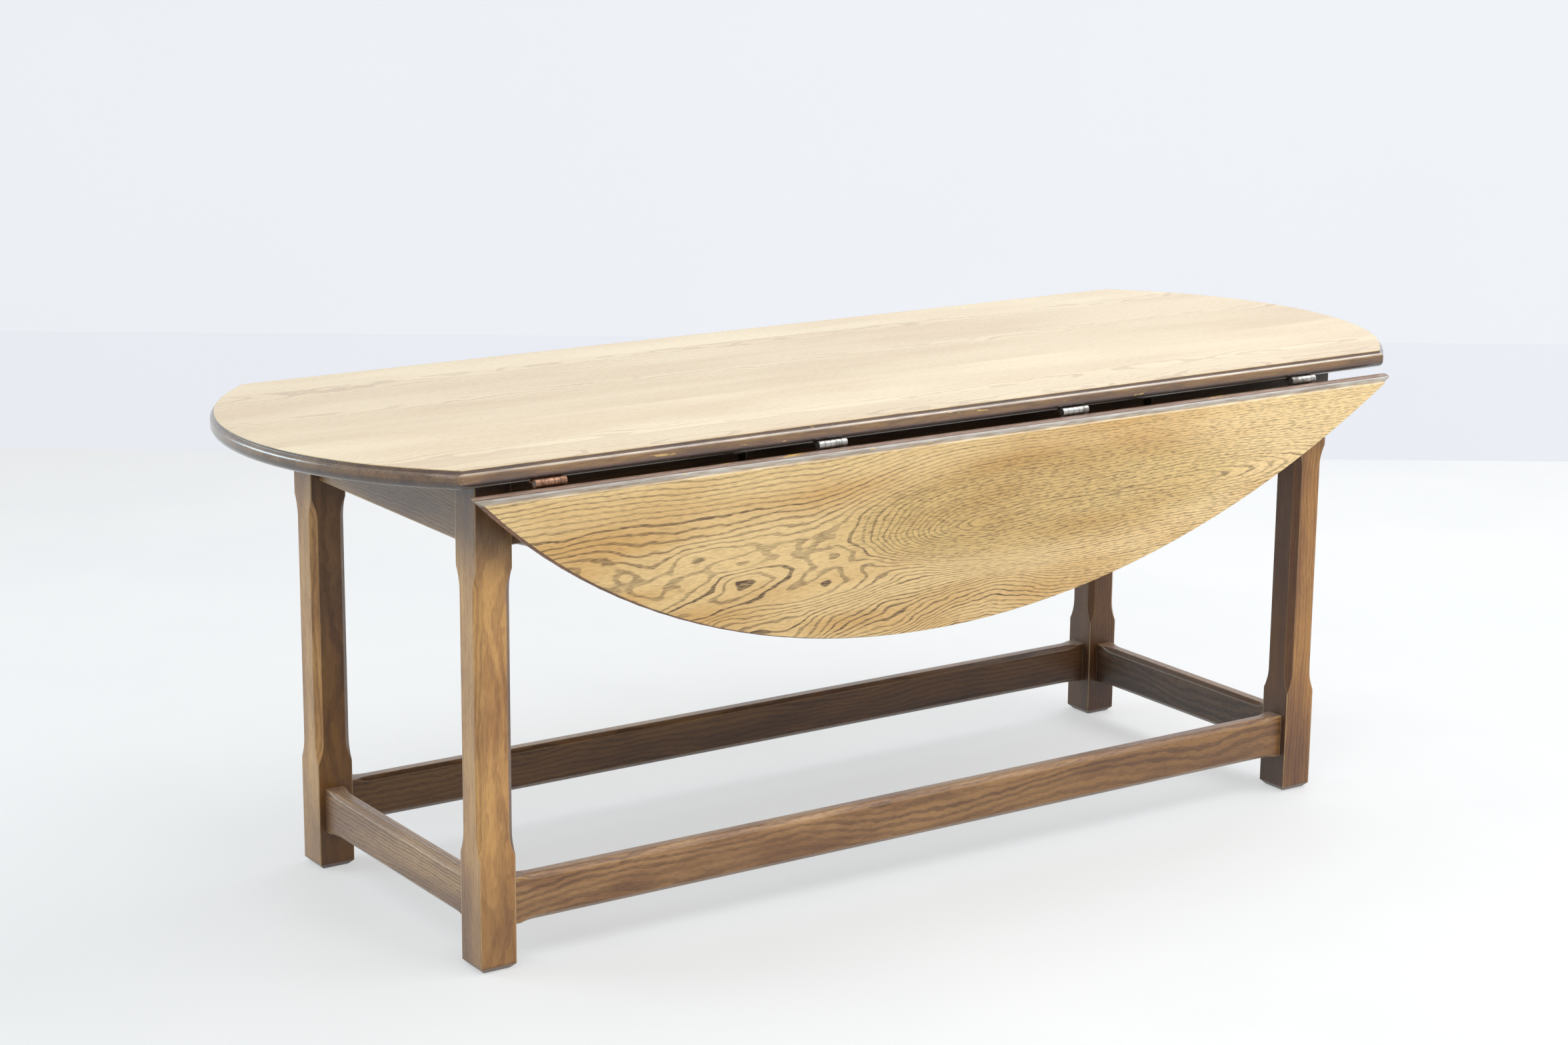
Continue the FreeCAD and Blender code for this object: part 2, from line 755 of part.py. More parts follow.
block_holes = copies("block_holes", block_screw_hole, block_spots)
leg_screw_holes = copies("leg_screw_holes", leg_screw_hole, leg_spots)
for corner_name, (side_x, side_y, quarter) in LEG_CORNERS.items():
    blank = block_body("block_" + corner_name)
    corner = block_corner(side_x, side_y)
    blank.Placement = Placement(corner + Vector(0, 0, (underside - block_height).value),
                                Rotation(Vector(0, 0, 1), quarter))
    holes = group("block_holes_" + corner_name, [block_holes, leg_screw_holes])
    finish(cut("corner_block_" + corner_name, blank, holes), "corner_block_" + corner_name)
finish(copies("block_screws_top", block_screw, block_spots), "block_screws_top")
finish(copies("block_screws_leg", leg_screw, leg_spots), "block_screws_leg")


# Hinges

KNUCKLES = 5


def hinge_plate(name, centre, side):
    """One plate of a hinge with its knuckles; side is 1 for the board's plate and -1 for the leaf's."""
    start = centre - hinge_length / 2
    level = underside - hinge_plate_thickness
    edge = -hinge_y if side > 0 else -(hinge_y + hinge_plate_width)
    plate = box(name + "_plate", start, edge, level, hinge_length, hinge_plate_width, hinge_plate_thickness)
    barrel = cylinder(name + "_barrel", knuckle_radius, hinge_length, start, -hinge_y, hinge_z, ALONG_X)
    clear = knuckle_radius + knuckle_relief
    pitch = hinge_length / KNUCKLES
    tools = []
    for i in range(KNUCKLES):
        if (i % 2 == 0) == (side > 0):
            continue
        low = start + pitch * i - knuckle_gap / 2
        width = pitch + knuckle_gap
        tools.append(box(name + "_gap_" + str(i), low, -(hinge_y + clear), hinge_z - clear, width, clear * 2,
                         clear * 2))
    bore = cylinder(name + "_bore", pin_radius + pin_play, hinge_length + cut_overrun * 2, start - cut_overrun,
                    -hinge_y, hinge_z, ALONG_X)
    holes = copies(name + "_holes", plate_screw_hole, hinge_screw_spots(centre, side))
    return cut(name, fuse(name + "_blank", [plate, barrel]), fuse(name + "_tools", tools + [bore, holes]))


for side, (turn, way) in TABLE_SIDES.items():
    pins = []
    for i, centre in enumerate(HINGE_PLACES[::way]):
        tail = side + "_" + str(i + 1)
        finish(hinge_plate("top_hinge_" + tail, centre, 1), "hinge_top_plate_" + tail, turn)
        finish(hinge_plate("leaf_hinge_" + tail, centre, -1), "hinge_leaf_plate_" + tail, turn * HANGING)
        pins.append(cylinder("hinge_pin_" + tail, pin_radius, hinge_length, centre - hinge_length / 2,
                             -hinge_y, hinge_z, ALONG_X))
    finish(group("hinge_pins_" + side, pins), "hinge_pins_" + side, turn)
    turned = [turn * spot for spot in top_hinge_spots]
    finish(copies("hinge_screws_top_" + side, plate_screw, turned), "hinge_screws_top_" + side)
    turned = [turn * HANGING * spot for spot in leaf_hinge_spots]
    finish(copies("hinge_screws_leaf_" + side, plate_screw, turned), "hinge_screws_leaf_" + side)


# Folding stays

def stay_bracket(name, centre):
    """A folded plate: a flange under the board and an ear that hangs down to the pivot."""
    flange = box(name + "_flange", centre - stay_flange_width, bracket_y, underside - stay_plate_thickness,
                 stay_flange_width + stay_plate_thickness, bracket_reach, stay_plate_thickness)
    end = brace_width / 2
    ear = box(name + "_ear", centre, stay_pivot_y - end, stay_pivot_z, stay_plate_thickness, brace_width,
              hinge_drop + stay_pivot_drop)
    tip = cylinder(name + "_tip", end, stay_plate_thickness, centre, stay_pivot_y, stay_pivot_z, ALONG_X)
    hole = cylinder(name + "_hole", stay_pin_radius + pin_play, stay_plate_thickness + cut_overrun * 2,
                    centre - cut_overrun, stay_pivot_y, stay_pivot_z, ALONG_X)
    screws = copies(name + "_screws", plate_screw_hole, bracket_screw_spots(centre))
    return cut(name, fuse(name + "_blank", [flange, ear, tip]), fuse(name + "_tools", [hole, screws]))


def stay_brace(name, centre):
    """A flat bar that hangs straight down from its pivot, with a headed stud at its free end."""
    start = centre + brace_x
    end = brace_width / 2
    foot = stay_pivot_z - brace_length
    bar = box(name + "_bar", start, stay_pivot_y - end, foot, brace_thickness, brace_width, brace_length)
    upper = cylinder(name + "_upper", end, brace_thickness, start, stay_pivot_y, stay_pivot_z, ALONG_X)
    lower = cylinder(name + "_lower", end, brace_thickness, start, stay_pivot_y, foot, ALONG_X)
    shank = guide_x - brace_x + stay_plate_thickness + stay_side_gap + stay_head_thickness
    stud = cylinder(name + "_stud", stay_pin_radius, shank, start, stay_pivot_y, foot, ALONG_X)
    head = cylinder(name + "_head", stay_head_radius, stay_head_thickness,
                    centre + guide_x + stay_plate_thickness + stay_side_gap, stay_pivot_y, foot, ALONG_X)
    hole = cylinder(name + "_hole", stay_pin_radius + pin_play, brace_thickness + cut_overrun * 2,
                    start - cut_overrun, stay_pivot_y, stay_pivot_z, ALONG_X)
    return cut(name, fuse(name + "_blank", [bar, upper, lower, stud, head]), hole)


def stay_guide(name, centre):
    """A folded plate on the leaf: a flange on the wood and a web whose curved slot carries the stud."""
    web = doc.addObject("Part::Feature", name + "_web")
    web.Shape = guide_outline().cut(guide_slot()).extrude(Vector(0, 0, stay_plate_thickness.value))
    place = Vector((centre + guide_x).value, -hinge_y.value, underside.value)
    web.Placement = Placement(place, ON_LEAF.Rotation)
    flange = doc.addObject("Part::Box", name + "_flange")
    bind(flange, "Length", stay_flange_width)
    bind(flange, "Height", stay_plate_thickness)
    flange.Width = guide_outer_end - guide_inner_end
    flange.Placement = Placement(Vector(place.x, place.y - guide_outer_end, place.z - stay_plate_thickness.value),
                                 Rotation())
    screws = copies(name + "_screws", plate_screw_hole, guide_screw_spots(centre))
    return cut(name, fuse(name + "_blank", [web, flange]), screws)


rivet_shank = stay_plate_thickness + stay_side_gap + brace_thickness + pin_play
rivet = fuse("rivet", [
    cylinder("rivet_head", stay_head_radius, stay_head_thickness, -stay_head_thickness, zero, zero, ALONG_X),
    cylinder("rivet_body", stay_pin_radius, rivet_shank, zero, zero, zero, ALONG_X),
    cylinder("rivet_tail", stay_head_radius, stay_head_thickness, rivet_shank, zero, zero, ALONG_X)])
doc.recompute()
brace_lean = math.degrees(stay_angles()[0])
rivet_spots = []
for side, (turn, way) in TABLE_SIDES.items():
    for end, place in STAY_PLACES.items():
        centre = place * way
        tail = side + "_" + end
        pivot = Vector(centre.value, stay_pivot_y.value, stay_pivot_z.value)
        lean = Placement(Vector(), Rotation(Vector(1, 0, 0), -brace_lean), pivot)
        finish(stay_bracket("bracket_" + tail, centre), "stay_bracket_" + tail, turn)
        finish(stay_brace("brace_" + tail, centre), "stay_brace_" + tail, turn * lean)
        finish(stay_guide("guide_" + tail, centre), "stay_guide_" + tail, turn * HANGING)
        rivet_spots.append(turn * Placement(pivot, Rotation()))
    turned = [turn * HANGING * spot for spot in guide_spots]
    finish(copies("stay_screws_leaf_" + side, plate_screw, turned), "stay_screws_leaf_" + side)
finish(copies("stay_rivets", rivet, rivet_spots), "stay_rivets")
finish(copies("stay_screws_top", plate_screw, both_sides(bracket_spots)), "stay_screws_top")


# Every object must have computed, and every piece must be sound, before anything is written
doc.recompute()
for item in doc.Objects:
    if "Invalid" in item.State or "Error" in item.State:
        raise RuntimeError(item.Name + " did not compute")
for item in finished:
    if item.Shape.isNull() or not item.Shape.isValid():
        raise RuntimeError(item.Label + " has no sound shape")

os.makedirs("parts", exist_ok=True)
for item in finished:
    item.Shape.exportStep(os.path.join("parts", item.Label + ".step"))
    bounds = item.Shape.BoundBox
    print(item.Label, len(item.Shape.Solids), round(item.Shape.Volume, 1), round(bounds.ZMin, 2), round(bounds.ZMax, 2))

first_angle, last_angle = stay_angles()
print("nodes", len(finished))
print("hinge axis", round(-hinge_y.value, 3), round(hinge_z.value, 3))
print("stay pivot", round(stay_pivot_y.value, 3), round(stay_pivot_z.value, 3))
print("brace turns", round(math.degrees(last_angle - first_angle), 4), "for", leaf_fold_angle.value, "of leaf")
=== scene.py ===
# %% [markdown]
# A drop-leaf coffee table in oak, seen in a white photo studio. The wood and the metal fittings were
# modelled beforehand as solids, so this lesson is about finish: how to make plain-sawn oak, dark stained
# edges, worn arrises and nickelled hinges out of nodes alone. We load the solids first.

# %% Load the table
import json
import math

import bmesh
import bpy
from mathutils import Matrix, Vector


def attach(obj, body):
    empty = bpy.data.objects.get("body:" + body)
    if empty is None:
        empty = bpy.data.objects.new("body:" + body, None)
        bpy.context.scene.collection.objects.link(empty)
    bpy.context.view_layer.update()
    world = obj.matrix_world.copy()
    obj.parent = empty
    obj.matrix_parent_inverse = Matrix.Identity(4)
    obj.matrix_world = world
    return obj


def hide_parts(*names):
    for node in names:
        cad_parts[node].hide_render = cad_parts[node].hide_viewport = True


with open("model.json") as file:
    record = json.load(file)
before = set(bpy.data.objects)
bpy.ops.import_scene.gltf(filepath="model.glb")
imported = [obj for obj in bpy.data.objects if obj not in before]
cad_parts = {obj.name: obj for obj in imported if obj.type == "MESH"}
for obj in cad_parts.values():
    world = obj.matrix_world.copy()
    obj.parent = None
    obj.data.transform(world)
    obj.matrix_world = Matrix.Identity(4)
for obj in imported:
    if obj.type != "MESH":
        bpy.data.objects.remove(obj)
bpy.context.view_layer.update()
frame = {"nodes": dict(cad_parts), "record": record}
parts = frame["nodes"]
print("pieces loaded:", len(parts))

# %% [markdown]
# Every material below is a small network of nodes. Short helpers keep the cells readable. The first adds a
# node and feeds its sockets with numbers or with other sockets. The rest do arithmetic, remap, mix and
# stretch.

# %% Helpers for node networks
def add(tree, kind, feeds=None, **settings):
    node = tree.nodes.new(kind if "Node" in kind else "ShaderNode" + kind)
    for name, value in settings.items():
        setattr(node, name, value)
    for key, value in (feeds or {}).items():
        if isinstance(value, bpy.types.NodeSocket):
            tree.links.new(value, node.inputs[key])
        else:
            node.inputs[key].default_value = value
    return node


def calc(tree, operation, a, b=0.0, clamp=False):
    return add(tree, "Math", {0: a, 1: b}, operation=operation, use_clamp=clamp).outputs[0]


def mul_add(tree, a, b, c):
    return add(tree, "Math", {0: a, 1: b, 2: c}, operation="MULTIPLY_ADD").outputs[0]


def remap(tree, value, low, high, new_low=0.0, new_high=1.0, smooth=True):
    kind = "SMOOTHSTEP" if smooth else "LINEAR"
    feeds = {"Value": value, "From Min": low, "From Max": high, "To Min": new_low, "To Max": new_high}
    return add(tree, "MapRange", feeds, interpolation_type=kind).outputs[0]


def blend_colours(tree, factor, a, b, mode="MIX"):
    return add(tree, "Mix", {0: factor, 6: a, 7: b}, data_type="RGBA", blend_type=mode).outputs[2]


def noise(tree, vector, scale, detail=2.0, roughness=0.5):
    feeds = {"Vector": vector, "Scale": scale, "Detail": detail, "Roughness": roughness}
    return add(tree, "TexNoise", feeds).outputs[0]


def stretched(tree, vector, x, y, z):
    return add(tree, "VectorMath", {0: vector, 1: (x, y, z)}, operation="MULTIPLY").outputs[0]


def new_group(name, inputs, outputs):
    tree = bpy.data.node_groups.new(name, "ShaderNodeTree")
    for label, kind, value in inputs:
        socket = tree.interface.new_socket(label, in_out="INPUT", socket_type="NodeSocket" + kind)
        socket.default_value = value
    for label, kind in outputs:
        tree.interface.new_socket(label, in_out="OUTPUT", socket_type="NodeSocket" + kind)
    return tree, tree.nodes.new("NodeGroupInput").outputs, tree.nodes.new("NodeGroupOutput").inputs


# %% [markdown]
# Oak's figure is its growth rings, cut through by the saw. A board is a slice of a log, so we measure how
# far each point lies from the log's heart and draw a dark line once per ring. Where the face runs along the
# rings they open into loops and arches. Where it cuts them steeply they close up to fine lines. Two noises
# bend the trunk, a third frays the lines along the grain, because oak's dark lines are rows of open pores.

# %% Growth rings of oak
BEND_SCALE = (6.0, 15.0, 15.0)
SWIRL_SCALE = (14.0, 30.0, 30.0)
FRAY_SCALE = (52.0, 110.0, 110.0)
FLECK_SCALE = (130.0, 1300.0, 1300.0)
PATCH_SCALE = (3.0, 14.0, 14.0)

rings, given, out = new_group("oak_rings", [
    ("Vector", "Vector", (0, 0, 0)),
    ("Heart across", "Float", 0.0),
    ("Heart depth", "Float", 0.05),
    ("Ring width", "Float", 0.003),
    ("Bend", "Float", 0.01),
    ("Swirl", "Float", 0.004),
    ("Fray", "Float", 0.0006),
    ("Line width", "Float", 0.34),
    ("Seed", "Vector", (0, 0, 0)),
], [("Ring", "Float"), ("Pore", "Float"), ("Tone", "Float")])

place = add(rings, "VectorMath", {0: given["Vector"], 1: given["Seed"]}, operation="ADD").outputs[0]
axes = add(rings, "SeparateXYZ", {0: given["Vector"]}).outputs
across = calc(rings, "SUBTRACT", axes[1], given["Heart across"])
depth = calc(rings, "ADD", axes[2], given["Heart depth"])
radius = calc(rings, "SQRT", calc(rings, "ADD", calc(rings, "MULTIPLY", across, across),
                                  calc(rings, "MULTIPLY", depth, depth)))


def waver(scale, detail):
    return calc(rings, "SUBTRACT", noise(rings, stretched(rings, place, *scale), 1.0, detail), 0.5)


bent = mul_add(rings, waver(BEND_SCALE, 1.0), given["Bend"], radius)
swirled = mul_add(rings, waver(SWIRL_SCALE, 1.6), given["Swirl"], bent)
frayed = mul_add(rings, waver(FRAY_SCALE, 1.5), given["Fray"], swirled)
count = calc(rings, "DIVIDE", frayed, given["Ring width"])
share = calc(rings, "FRACT", count)
strength = add(rings, "TexWhiteNoise", {"W": calc(rings, "FLOOR", count)}, noise_dimensions="1D").outputs[0]
rise = remap(rings, share, 0.0, 0.06)
fall = remap(rings, share, calc(rings, "MULTIPLY", given["Line width"], 0.65), given["Line width"], 1.0, 0.0)
faint = remap(rings, strength, 0.0, 1.0, 0.55, 1.0)
line = calc(rings, "MULTIPLY", calc(rings, "MULTIPLY", rise, fall), faint)
flecks = noise(rings, stretched(rings, place, *FLECK_SCALE), 1.0, 0.0)
pores = remap(rings, flecks, 0.52, 0.68)
patch = noise(rings, stretched(rings, place, *PATCH_SCALE), 1.0, 2.0)
dashed = calc(rings, "MULTIPLY", line, remap(rings, flecks, 0.35, 0.6, 0.6, 1.0))
broken = calc(rings, "MULTIPLY", dashed, remap(rings, patch, 0.25, 0.5, 0.6, 1.0))
rings.links.new(broken, out["Ring"])
rings.links.new(pores, out["Pore"])
rings.links.new(patch, out["Tone"])
print("group:", rings.name, len(rings.nodes), "nodes")

# %% [markdown]
# Handling wears the stain off sharp edges first. The Bevel node tells where an edge is: it bends the normal
# near a corner, so the difference from the true normal is a mask of the arrises. A noise makes the wear
# come and go. The same bent normal, mixed back in, rounds the corners a little, which no saw-cut piece of
# old furniture lacks.

# %% Worn edges
wear, given, out = new_group("edge_wear", [
    ("Radius", "Float", 0.002),
    ("Amount", "Float", 1.0),
    ("Patchiness", "Float", 0.5),
], [("Wear", "Float"), ("Normal", "Vector")])

rounded = add(wear, "Bevel", {"Radius": given["Radius"]}, samples=6).outputs[0]
true_normal = add(wear, "NewGeometry").outputs["Normal"]
turn = add(wear, "VectorMath", {0: rounded, 1: true_normal}, operation="DOT_PRODUCT").outputs["Value"]
edge = remap(wear, calc(wear, "SUBTRACT", 1.0, turn), 0.02, 0.28)
where = add(wear, "TexCoord").outputs["Object"]
spots = remap(wear, noise(wear, where, 22.0, 4.0, 0.7), 0.35, 0.62)
kept = mul_add(wear, calc(wear, "SUBTRACT", spots, 1.0), given["Patchiness"], 1.0)
worn = calc(wear, "MULTIPLY", calc(wear, "MULTIPLY", edge, kept), given["Amount"], clamp=True)
wear.links.new(worn, out["Wear"])
wear.links.new(rounded, out["Normal"])
print("group:", wear.name, len(wear.nodes), "nodes")


# %% [markdown]
# One recipe serves every oak piece: rings and pores darken a pale ground, a broad tone drifts over it, and
# the same masks roughen and emboss the lacquer. The pieces differ in how the board lies in the log and in
# stain.

# %% Recipe for oak
def linear(level):
    return ((level / 255 + 0.055) / 1.055) ** 2.4 if level > 10 else level / 3294


def colour(red, green, blue):
    return linear(red), linear(green), linear(blue), 1.0


def grain_space(tree, centre=(0, 0, 0), turn=(0, 0, 0)):
    where = add(tree, "TexCoord").outputs["Object"]
    turned = tuple(math.radians(angle) for angle in turn)
    return add(tree, "Mapping", {"Vector": where, "Location": centre, "Rotation": turned},
               vector_type="TEXTURE").outputs[0]


def ring_node(tree, vector, feeds):
    return add(tree, "Group", {"Vector": vector, **feeds}, node_tree=rings)


def wear_node(tree, size, amount, patchiness):
    return add(tree, "Group", {"Radius": size, "Amount": amount, "Patchiness": patchiness}, node_tree=wear)


def new_material(name, coat, coat_roughness):
    material = bpy.data.materials.new(name)
    material.use_nodes = True
    tree = material.node_tree
    shader = tree.nodes["Principled BSDF"]
    shader.inputs["Coat Weight"].default_value = coat
    shader.inputs["Coat Roughness"].default_value = coat_roughness
    return material, tree, shader


def wood_colour(tree, ring, pale, dark, pore_depth=0.5, line=None):
    base = blend_colours(tree, ring.outputs["Ring"] if line is None else line, pale, dark)
    pores = calc(tree, "MULTIPLY", ring.outputs["Pore"], pore_depth)
    return blend_colours(tree, pores, base, dark)


def drift(tree, value, surface, shade, low=0.3, high=0.7, amount=0.5):
    factor = remap(tree, value, low, high, 0.0, amount)
    return blend_colours(tree, factor, surface, shade, "MULTIPLY")


def emboss(tree, shader, height, normal, strength, distance):
    feeds = {"Strength": strength, "Distance": distance, "Height": height, "Normal": normal}
    bump = add(tree, "Bump", feeds).outputs[0]
    tree.links.new(bump, shader.inputs["Normal"])
    tree.links.new(normal, shader.inputs["Coat Normal"])


EDGE_ROUGHNESS = 0.24
LINE_DEPTH = 0.7
GRAIN_STRENGTH = 0.35
GRAIN_DEPTH = 0.0004


def finish_oak(tree, shader, surface, ring, edges, smooth, rough, face=None):
    lines = calc(tree, "MULTIPLY", ring.outputs["Ring"], LINE_DEPTH)
    height = calc(tree, "SUBTRACT", 1.0, calc(tree, "MAXIMUM", ring.outputs["Pore"], lines))
    tree.links.new(surface, shader.inputs["Base Color"])
    dull = remap(tree, height, 0.0, 1.0, rough, smooth)
    if face is not None:
        dull = add(tree, "Mix", {0: face, 2: EDGE_ROUGHNESS, 3: dull}, data_type="FLOAT").outputs[0]
    tree.links.new(dull, shader.inputs["Roughness"])
    emboss(tree, shader, height, edges.outputs["Normal"], GRAIN_STRENGTH, GRAIN_DEPTH)


# %% [markdown]
# The edge of the board and of the leaf is moulded and stained dark brown, while the flat face stays pale.
# Both are one piece of wood, so the material itself has to know where the face ends: it is pale only on the
# highest level of the board. Below that a colour ramp gives each step of the moulding its stain by its
# height, with blotches, small chips and arrises rubbed through. Along the straight edges of the top the
# ramp also paints a pale band on the upper round, a painted highlight. On the leaf's hinge side the steps
# are worn paler and carry a painted grey sheen. The underside was never stained, so it shows raw oak.

# %% Stain of the moulded edge
CHIP = colour(196, 160, 84)
WORN = colour(206, 166, 116)
BLOTCH = colour(152, 128, 104)
FIBRE = colour(200, 178, 150)
RAW_PALE = colour(186, 146, 98)
RAW_DARK = colour(132, 96, 58)
RAW_COAT = 0.1
MOULDING_WEAR = (0.0009, 0.8, 0.7)


def bands(tree, height, low, high, stops):
    share = remap(tree, height, low, high, smooth=False)
    ramp = add(tree, "ValToRGB", {0: share})
    elements = ramp.color_ramp.elements
    for index, (level, shade) in enumerate(stops):
        place = (level - low) / (high - low)
        element = elements[index] if index < 2 else elements.new(place)
        element.position = place
        element.color = shade
    return ramp.outputs[0]


def stained(tree, vector, edges, ground, depth=0.6):
    blotch = noise(tree, stretched(tree, vector, 14.0, 60.0, 60.0), 1.0, 3.0, 0.6)
    ground = drift(tree, blotch, ground, BLOTCH, 0.4, 0.62, depth)
    fibre = noise(tree, stretched(tree, vector, 40.0, 600.0, 600.0), 1.0, 2.0)
    ground = drift(tree, fibre, ground, FIBRE, 0.42, 0.6, 0.6)
    rubbed = calc(tree, "MULTIPLY", edges.outputs["Wear"], 0.5)
    return blend_colours(tree, rubbed, ground, WORN)


def bare_underside(tree, shader, surface, ring, under, coat):
    bare = wood_colour(tree, ring, RAW_PALE, RAW_DARK, 0.3)
    tree.links.new(remap(tree, under, 0.0, 1.0, coat, RAW_COAT), shader.inputs["Coat Weight"])
    return blend_colours(tree, under, surface, bare)


def chipped(tree, vector, surface, edge_line, reach):
    axes = add(tree, "SeparateXYZ", {0: vector}).outputs
    distance = calc(tree, "ABSOLUTE", calc(tree, "SUBTRACT", axes[1], edge_line))
    near = remap(tree, distance, reach * 0.6, reach, 1.0, 0.0)
    flakes = remap(tree, noise(tree, stretched(tree, vector, 26.0, 160.0, 160.0), 1.0, 3.0, 0.65), 0.66, 0.7)
    return blend_colours(tree, calc(tree, "MULTIPLY", near, flakes), surface, CHIP)


# %% [markdown]
# The leaf is one wide plain-sawn board and the showpiece of the table. The log's heart runs about 100 mm
# down from the hinge. At the left it lies deep below the face and the trunk is bent most, so the rings open
# into loops and islands. From the middle on the trunk is straight and the face passes close by the heart,
# so it cuts the rings steeply. They run fine to the right and grow fainter, and the pores show more.

# %% Leaf
LEAF_TURN = 107.5
HINGE_Y = 0.2373
HINGE_Z = 0.4805
FACE_Z = 0.5
FACE_EDGE = (-0.0009, -0.0003)
face_height = FACE_Z - HINGE_Z
LEAF_PALE = colour(252, 219, 158)
LEAF_DARK = colour(80, 52, 24)
HONEY = colour(224, 200, 156)
GREYED = colour(240, 237, 230)
OLIVE = colour(226, 220, 190)
ISLAND_AT = (-0.113, 0.087, -face_height)
ISLAND_SHAPE = (3.4, 15.0, 15.0)
HEART_DEPTH = 0.085
HEART_RISES_X = (-0.20, 0.04)
HEART_SINKS_X = (0.30, 0.50)
HEART_LEANS_DOWN = (0.10, 0.18)
LIVELY_DOWN = (0.045, 0.115)
FAINT_DOWN = (0.02, 0.07)
FINE_X = (0.0, 0.25)
GREYED_X = (-0.1, 0.45)
HINGE_SIDE_Y = (-0.0074, -0.0066)
LEAF_UNDER_Z = (0.0017, 0.0022)
LEAF_CHIPS = (-0.003, 0.005)
LEAF_COAT = 0.3
RIM_BANDS = [
    (0.0, colour(92, 64, 50)),
    (0.0115, colour(104, 72, 52)),
    (0.0128, colour(150, 106, 78)),
    (0.0163, colour(158, 114, 84)),
    (0.0167, colour(128, 88, 60)),
    (face_height, colour(140, 98, 68)),
]
# Hinge side: worn paler, and the grey and cream bands are a painted sheen.
HINGE_SIDE_WEAR_AND_SHEEN_BANDS = [
    (0.0, colour(128, 104, 92)),
    (0.0116, colour(156, 132, 118)),
    (0.0120, colour(100, 72, 54)),
    (0.0130, colour(100, 72, 54)),
    (0.0134, colour(158, 152, 144)),
    (0.0163, colour(172, 166, 156)),
    (0.0167, colour(220, 204, 174)),
    (face_height, colour(232, 216, 186)),
]


def face_mask(tree, height, face):
    return remap(tree, height, *[face + offset for offset in FACE_EDGE])


def leaf_material(name, hinge_y, half_turn, seed):
    material, tree, shader = new_material(name, LEAF_COAT, 0.2)
    vector = grain_space(tree, (0, hinge_y, HINGE_Z), (LEAF_TURN, 0, half_turn))
    axes = add(tree, "SeparateXYZ", {0: vector}).outputs
    down = calc(tree, "MULTIPLY", axes[1], -1.0)
    along = calc(tree, "SUBTRACT", axes[0], remap(tree, down, *HEART_LEANS_DOWN, 0.0, 0.20))
    rising = remap(tree, along, *HEART_RISES_X, 1.0, 0.05)
    sinking = remap(tree, along, *HEART_SINKS_X, 0.0, 0.22)
    deep = calc(tree, "ADD", rising, sinking)
    lively = calc(tree, "MULTIPLY", deep, remap(tree, down, *LIVELY_DOWN, 0.2, 1.0))
    feeds = {
        "Heart across": remap(tree, axes[0], -0.3, 0.3, -0.120, -0.090),
        "Heart depth": calc(tree, "SUBTRACT", calc(tree, "MULTIPLY", deep, HEART_DEPTH), face_height),
        "Ring width": remap(tree, axes[0], -0.30, 0.20, 0.0044, 0.0031),
        "Bend": calc(tree, "MAXIMUM", calc(tree, "MULTIPLY", lively, 0.060), 0.012),
        "Swirl": calc(tree, "MAXIMUM", calc(tree, "MULTIPLY", lively, 0.020), 0.004),
        "Fray": 0.0026,
        "Line width": remap(tree, axes[0], -0.1, 0.2, 0.42, 0.36),
        "Seed": seed,
    }
    ring = ring_node(tree, vector, feeds)
    centred = add(tree, "VectorMath", {0: vector, 1: ISLAND_AT}, operation="ADD").outputs[0]
    reach = add(tree, "VectorMath", {0: stretched(tree, centred, *ISLAND_SHAPE)}, operation="LENGTH")
    island = remap(tree, reach.outputs["Value"], 0.55, 1.15, 1.0, 0.0)
    fine = calc(tree, "MAXIMUM", island, remap(tree, axes[0], *FINE_X, 0.0, 0.65))
    pore_depth = remap(tree, fine, 0.0, 1.0, 0.2, 0.48)
    line = calc(tree, "MULTIPLY", ring.outputs["Ring"], remap(tree, fine, 0.0, 1.0, 1.0, 0.55))
    line = calc(tree, "MULTIPLY", line, remap(tree, down, *FAINT_DOWN, 0.65, 1.0))
    face = wood_colour(tree, ring, LEAF_PALE, LEAF_DARK, pore_depth, line)
    face = drift(tree, ring.outputs["Tone"], face, HONEY, 0.42, 0.7, 0.8)
    face = drift(tree, remap(tree, axes[0], *GREYED_X, 1.0, 0.0), face, GREYED, 0.0, 1.0, 1.0)
    face = drift(tree, island, face, OLIVE, 0.0, 1.0, 0.7)
    edges = wear_node(tree, *MOULDING_WEAR)
    level = face_mask(tree, axes[2], face_height)
    rim = bands(tree, axes[2], 0.0, face_height, RIM_BANDS)
    stain = stained(tree, vector, edges, rim)
    # Worn paler and painted grey sheen on the hinge side of the leaf.
    hinge_side = bands(tree, axes[2], 0.0, face_height, HINGE_SIDE_WEAR_AND_SHEEN_BANDS)
    hinge_side_wear_and_sheen = stained(tree, vector, edges, hinge_side, 0.25)
    joint = remap(tree, axes[1], *HINGE_SIDE_Y)
    stain = blend_colours(tree, joint, stain, hinge_side_wear_and_sheen)
    below = chipped(tree, vector, stain, *LEAF_CHIPS)
    surface = blend_colours(tree, level, below, face)
    under = remap(tree, axes[2], *LEAF_UNDER_Z, 1.0, 0.0)
    surface = bare_underside(tree, shader, surface, ring, under, LEAF_COAT)
    finish_oak(tree, shader, surface, ring, edges, 0.34, 0.5, calc(tree, "MAXIMUM", level, under))
    return material


leaf_front_oak = leaf_material("oak_leaf_front", -HINGE_Y, 0, (0.37, 1.10, 0.20))
leaf_back_oak = leaf_material("oak_leaf_back", HINGE_Y, 180, (4.37, 2.10, 0.60))
print("leaf materials:", leaf_front_oak.name, leaf_back_oak.name)
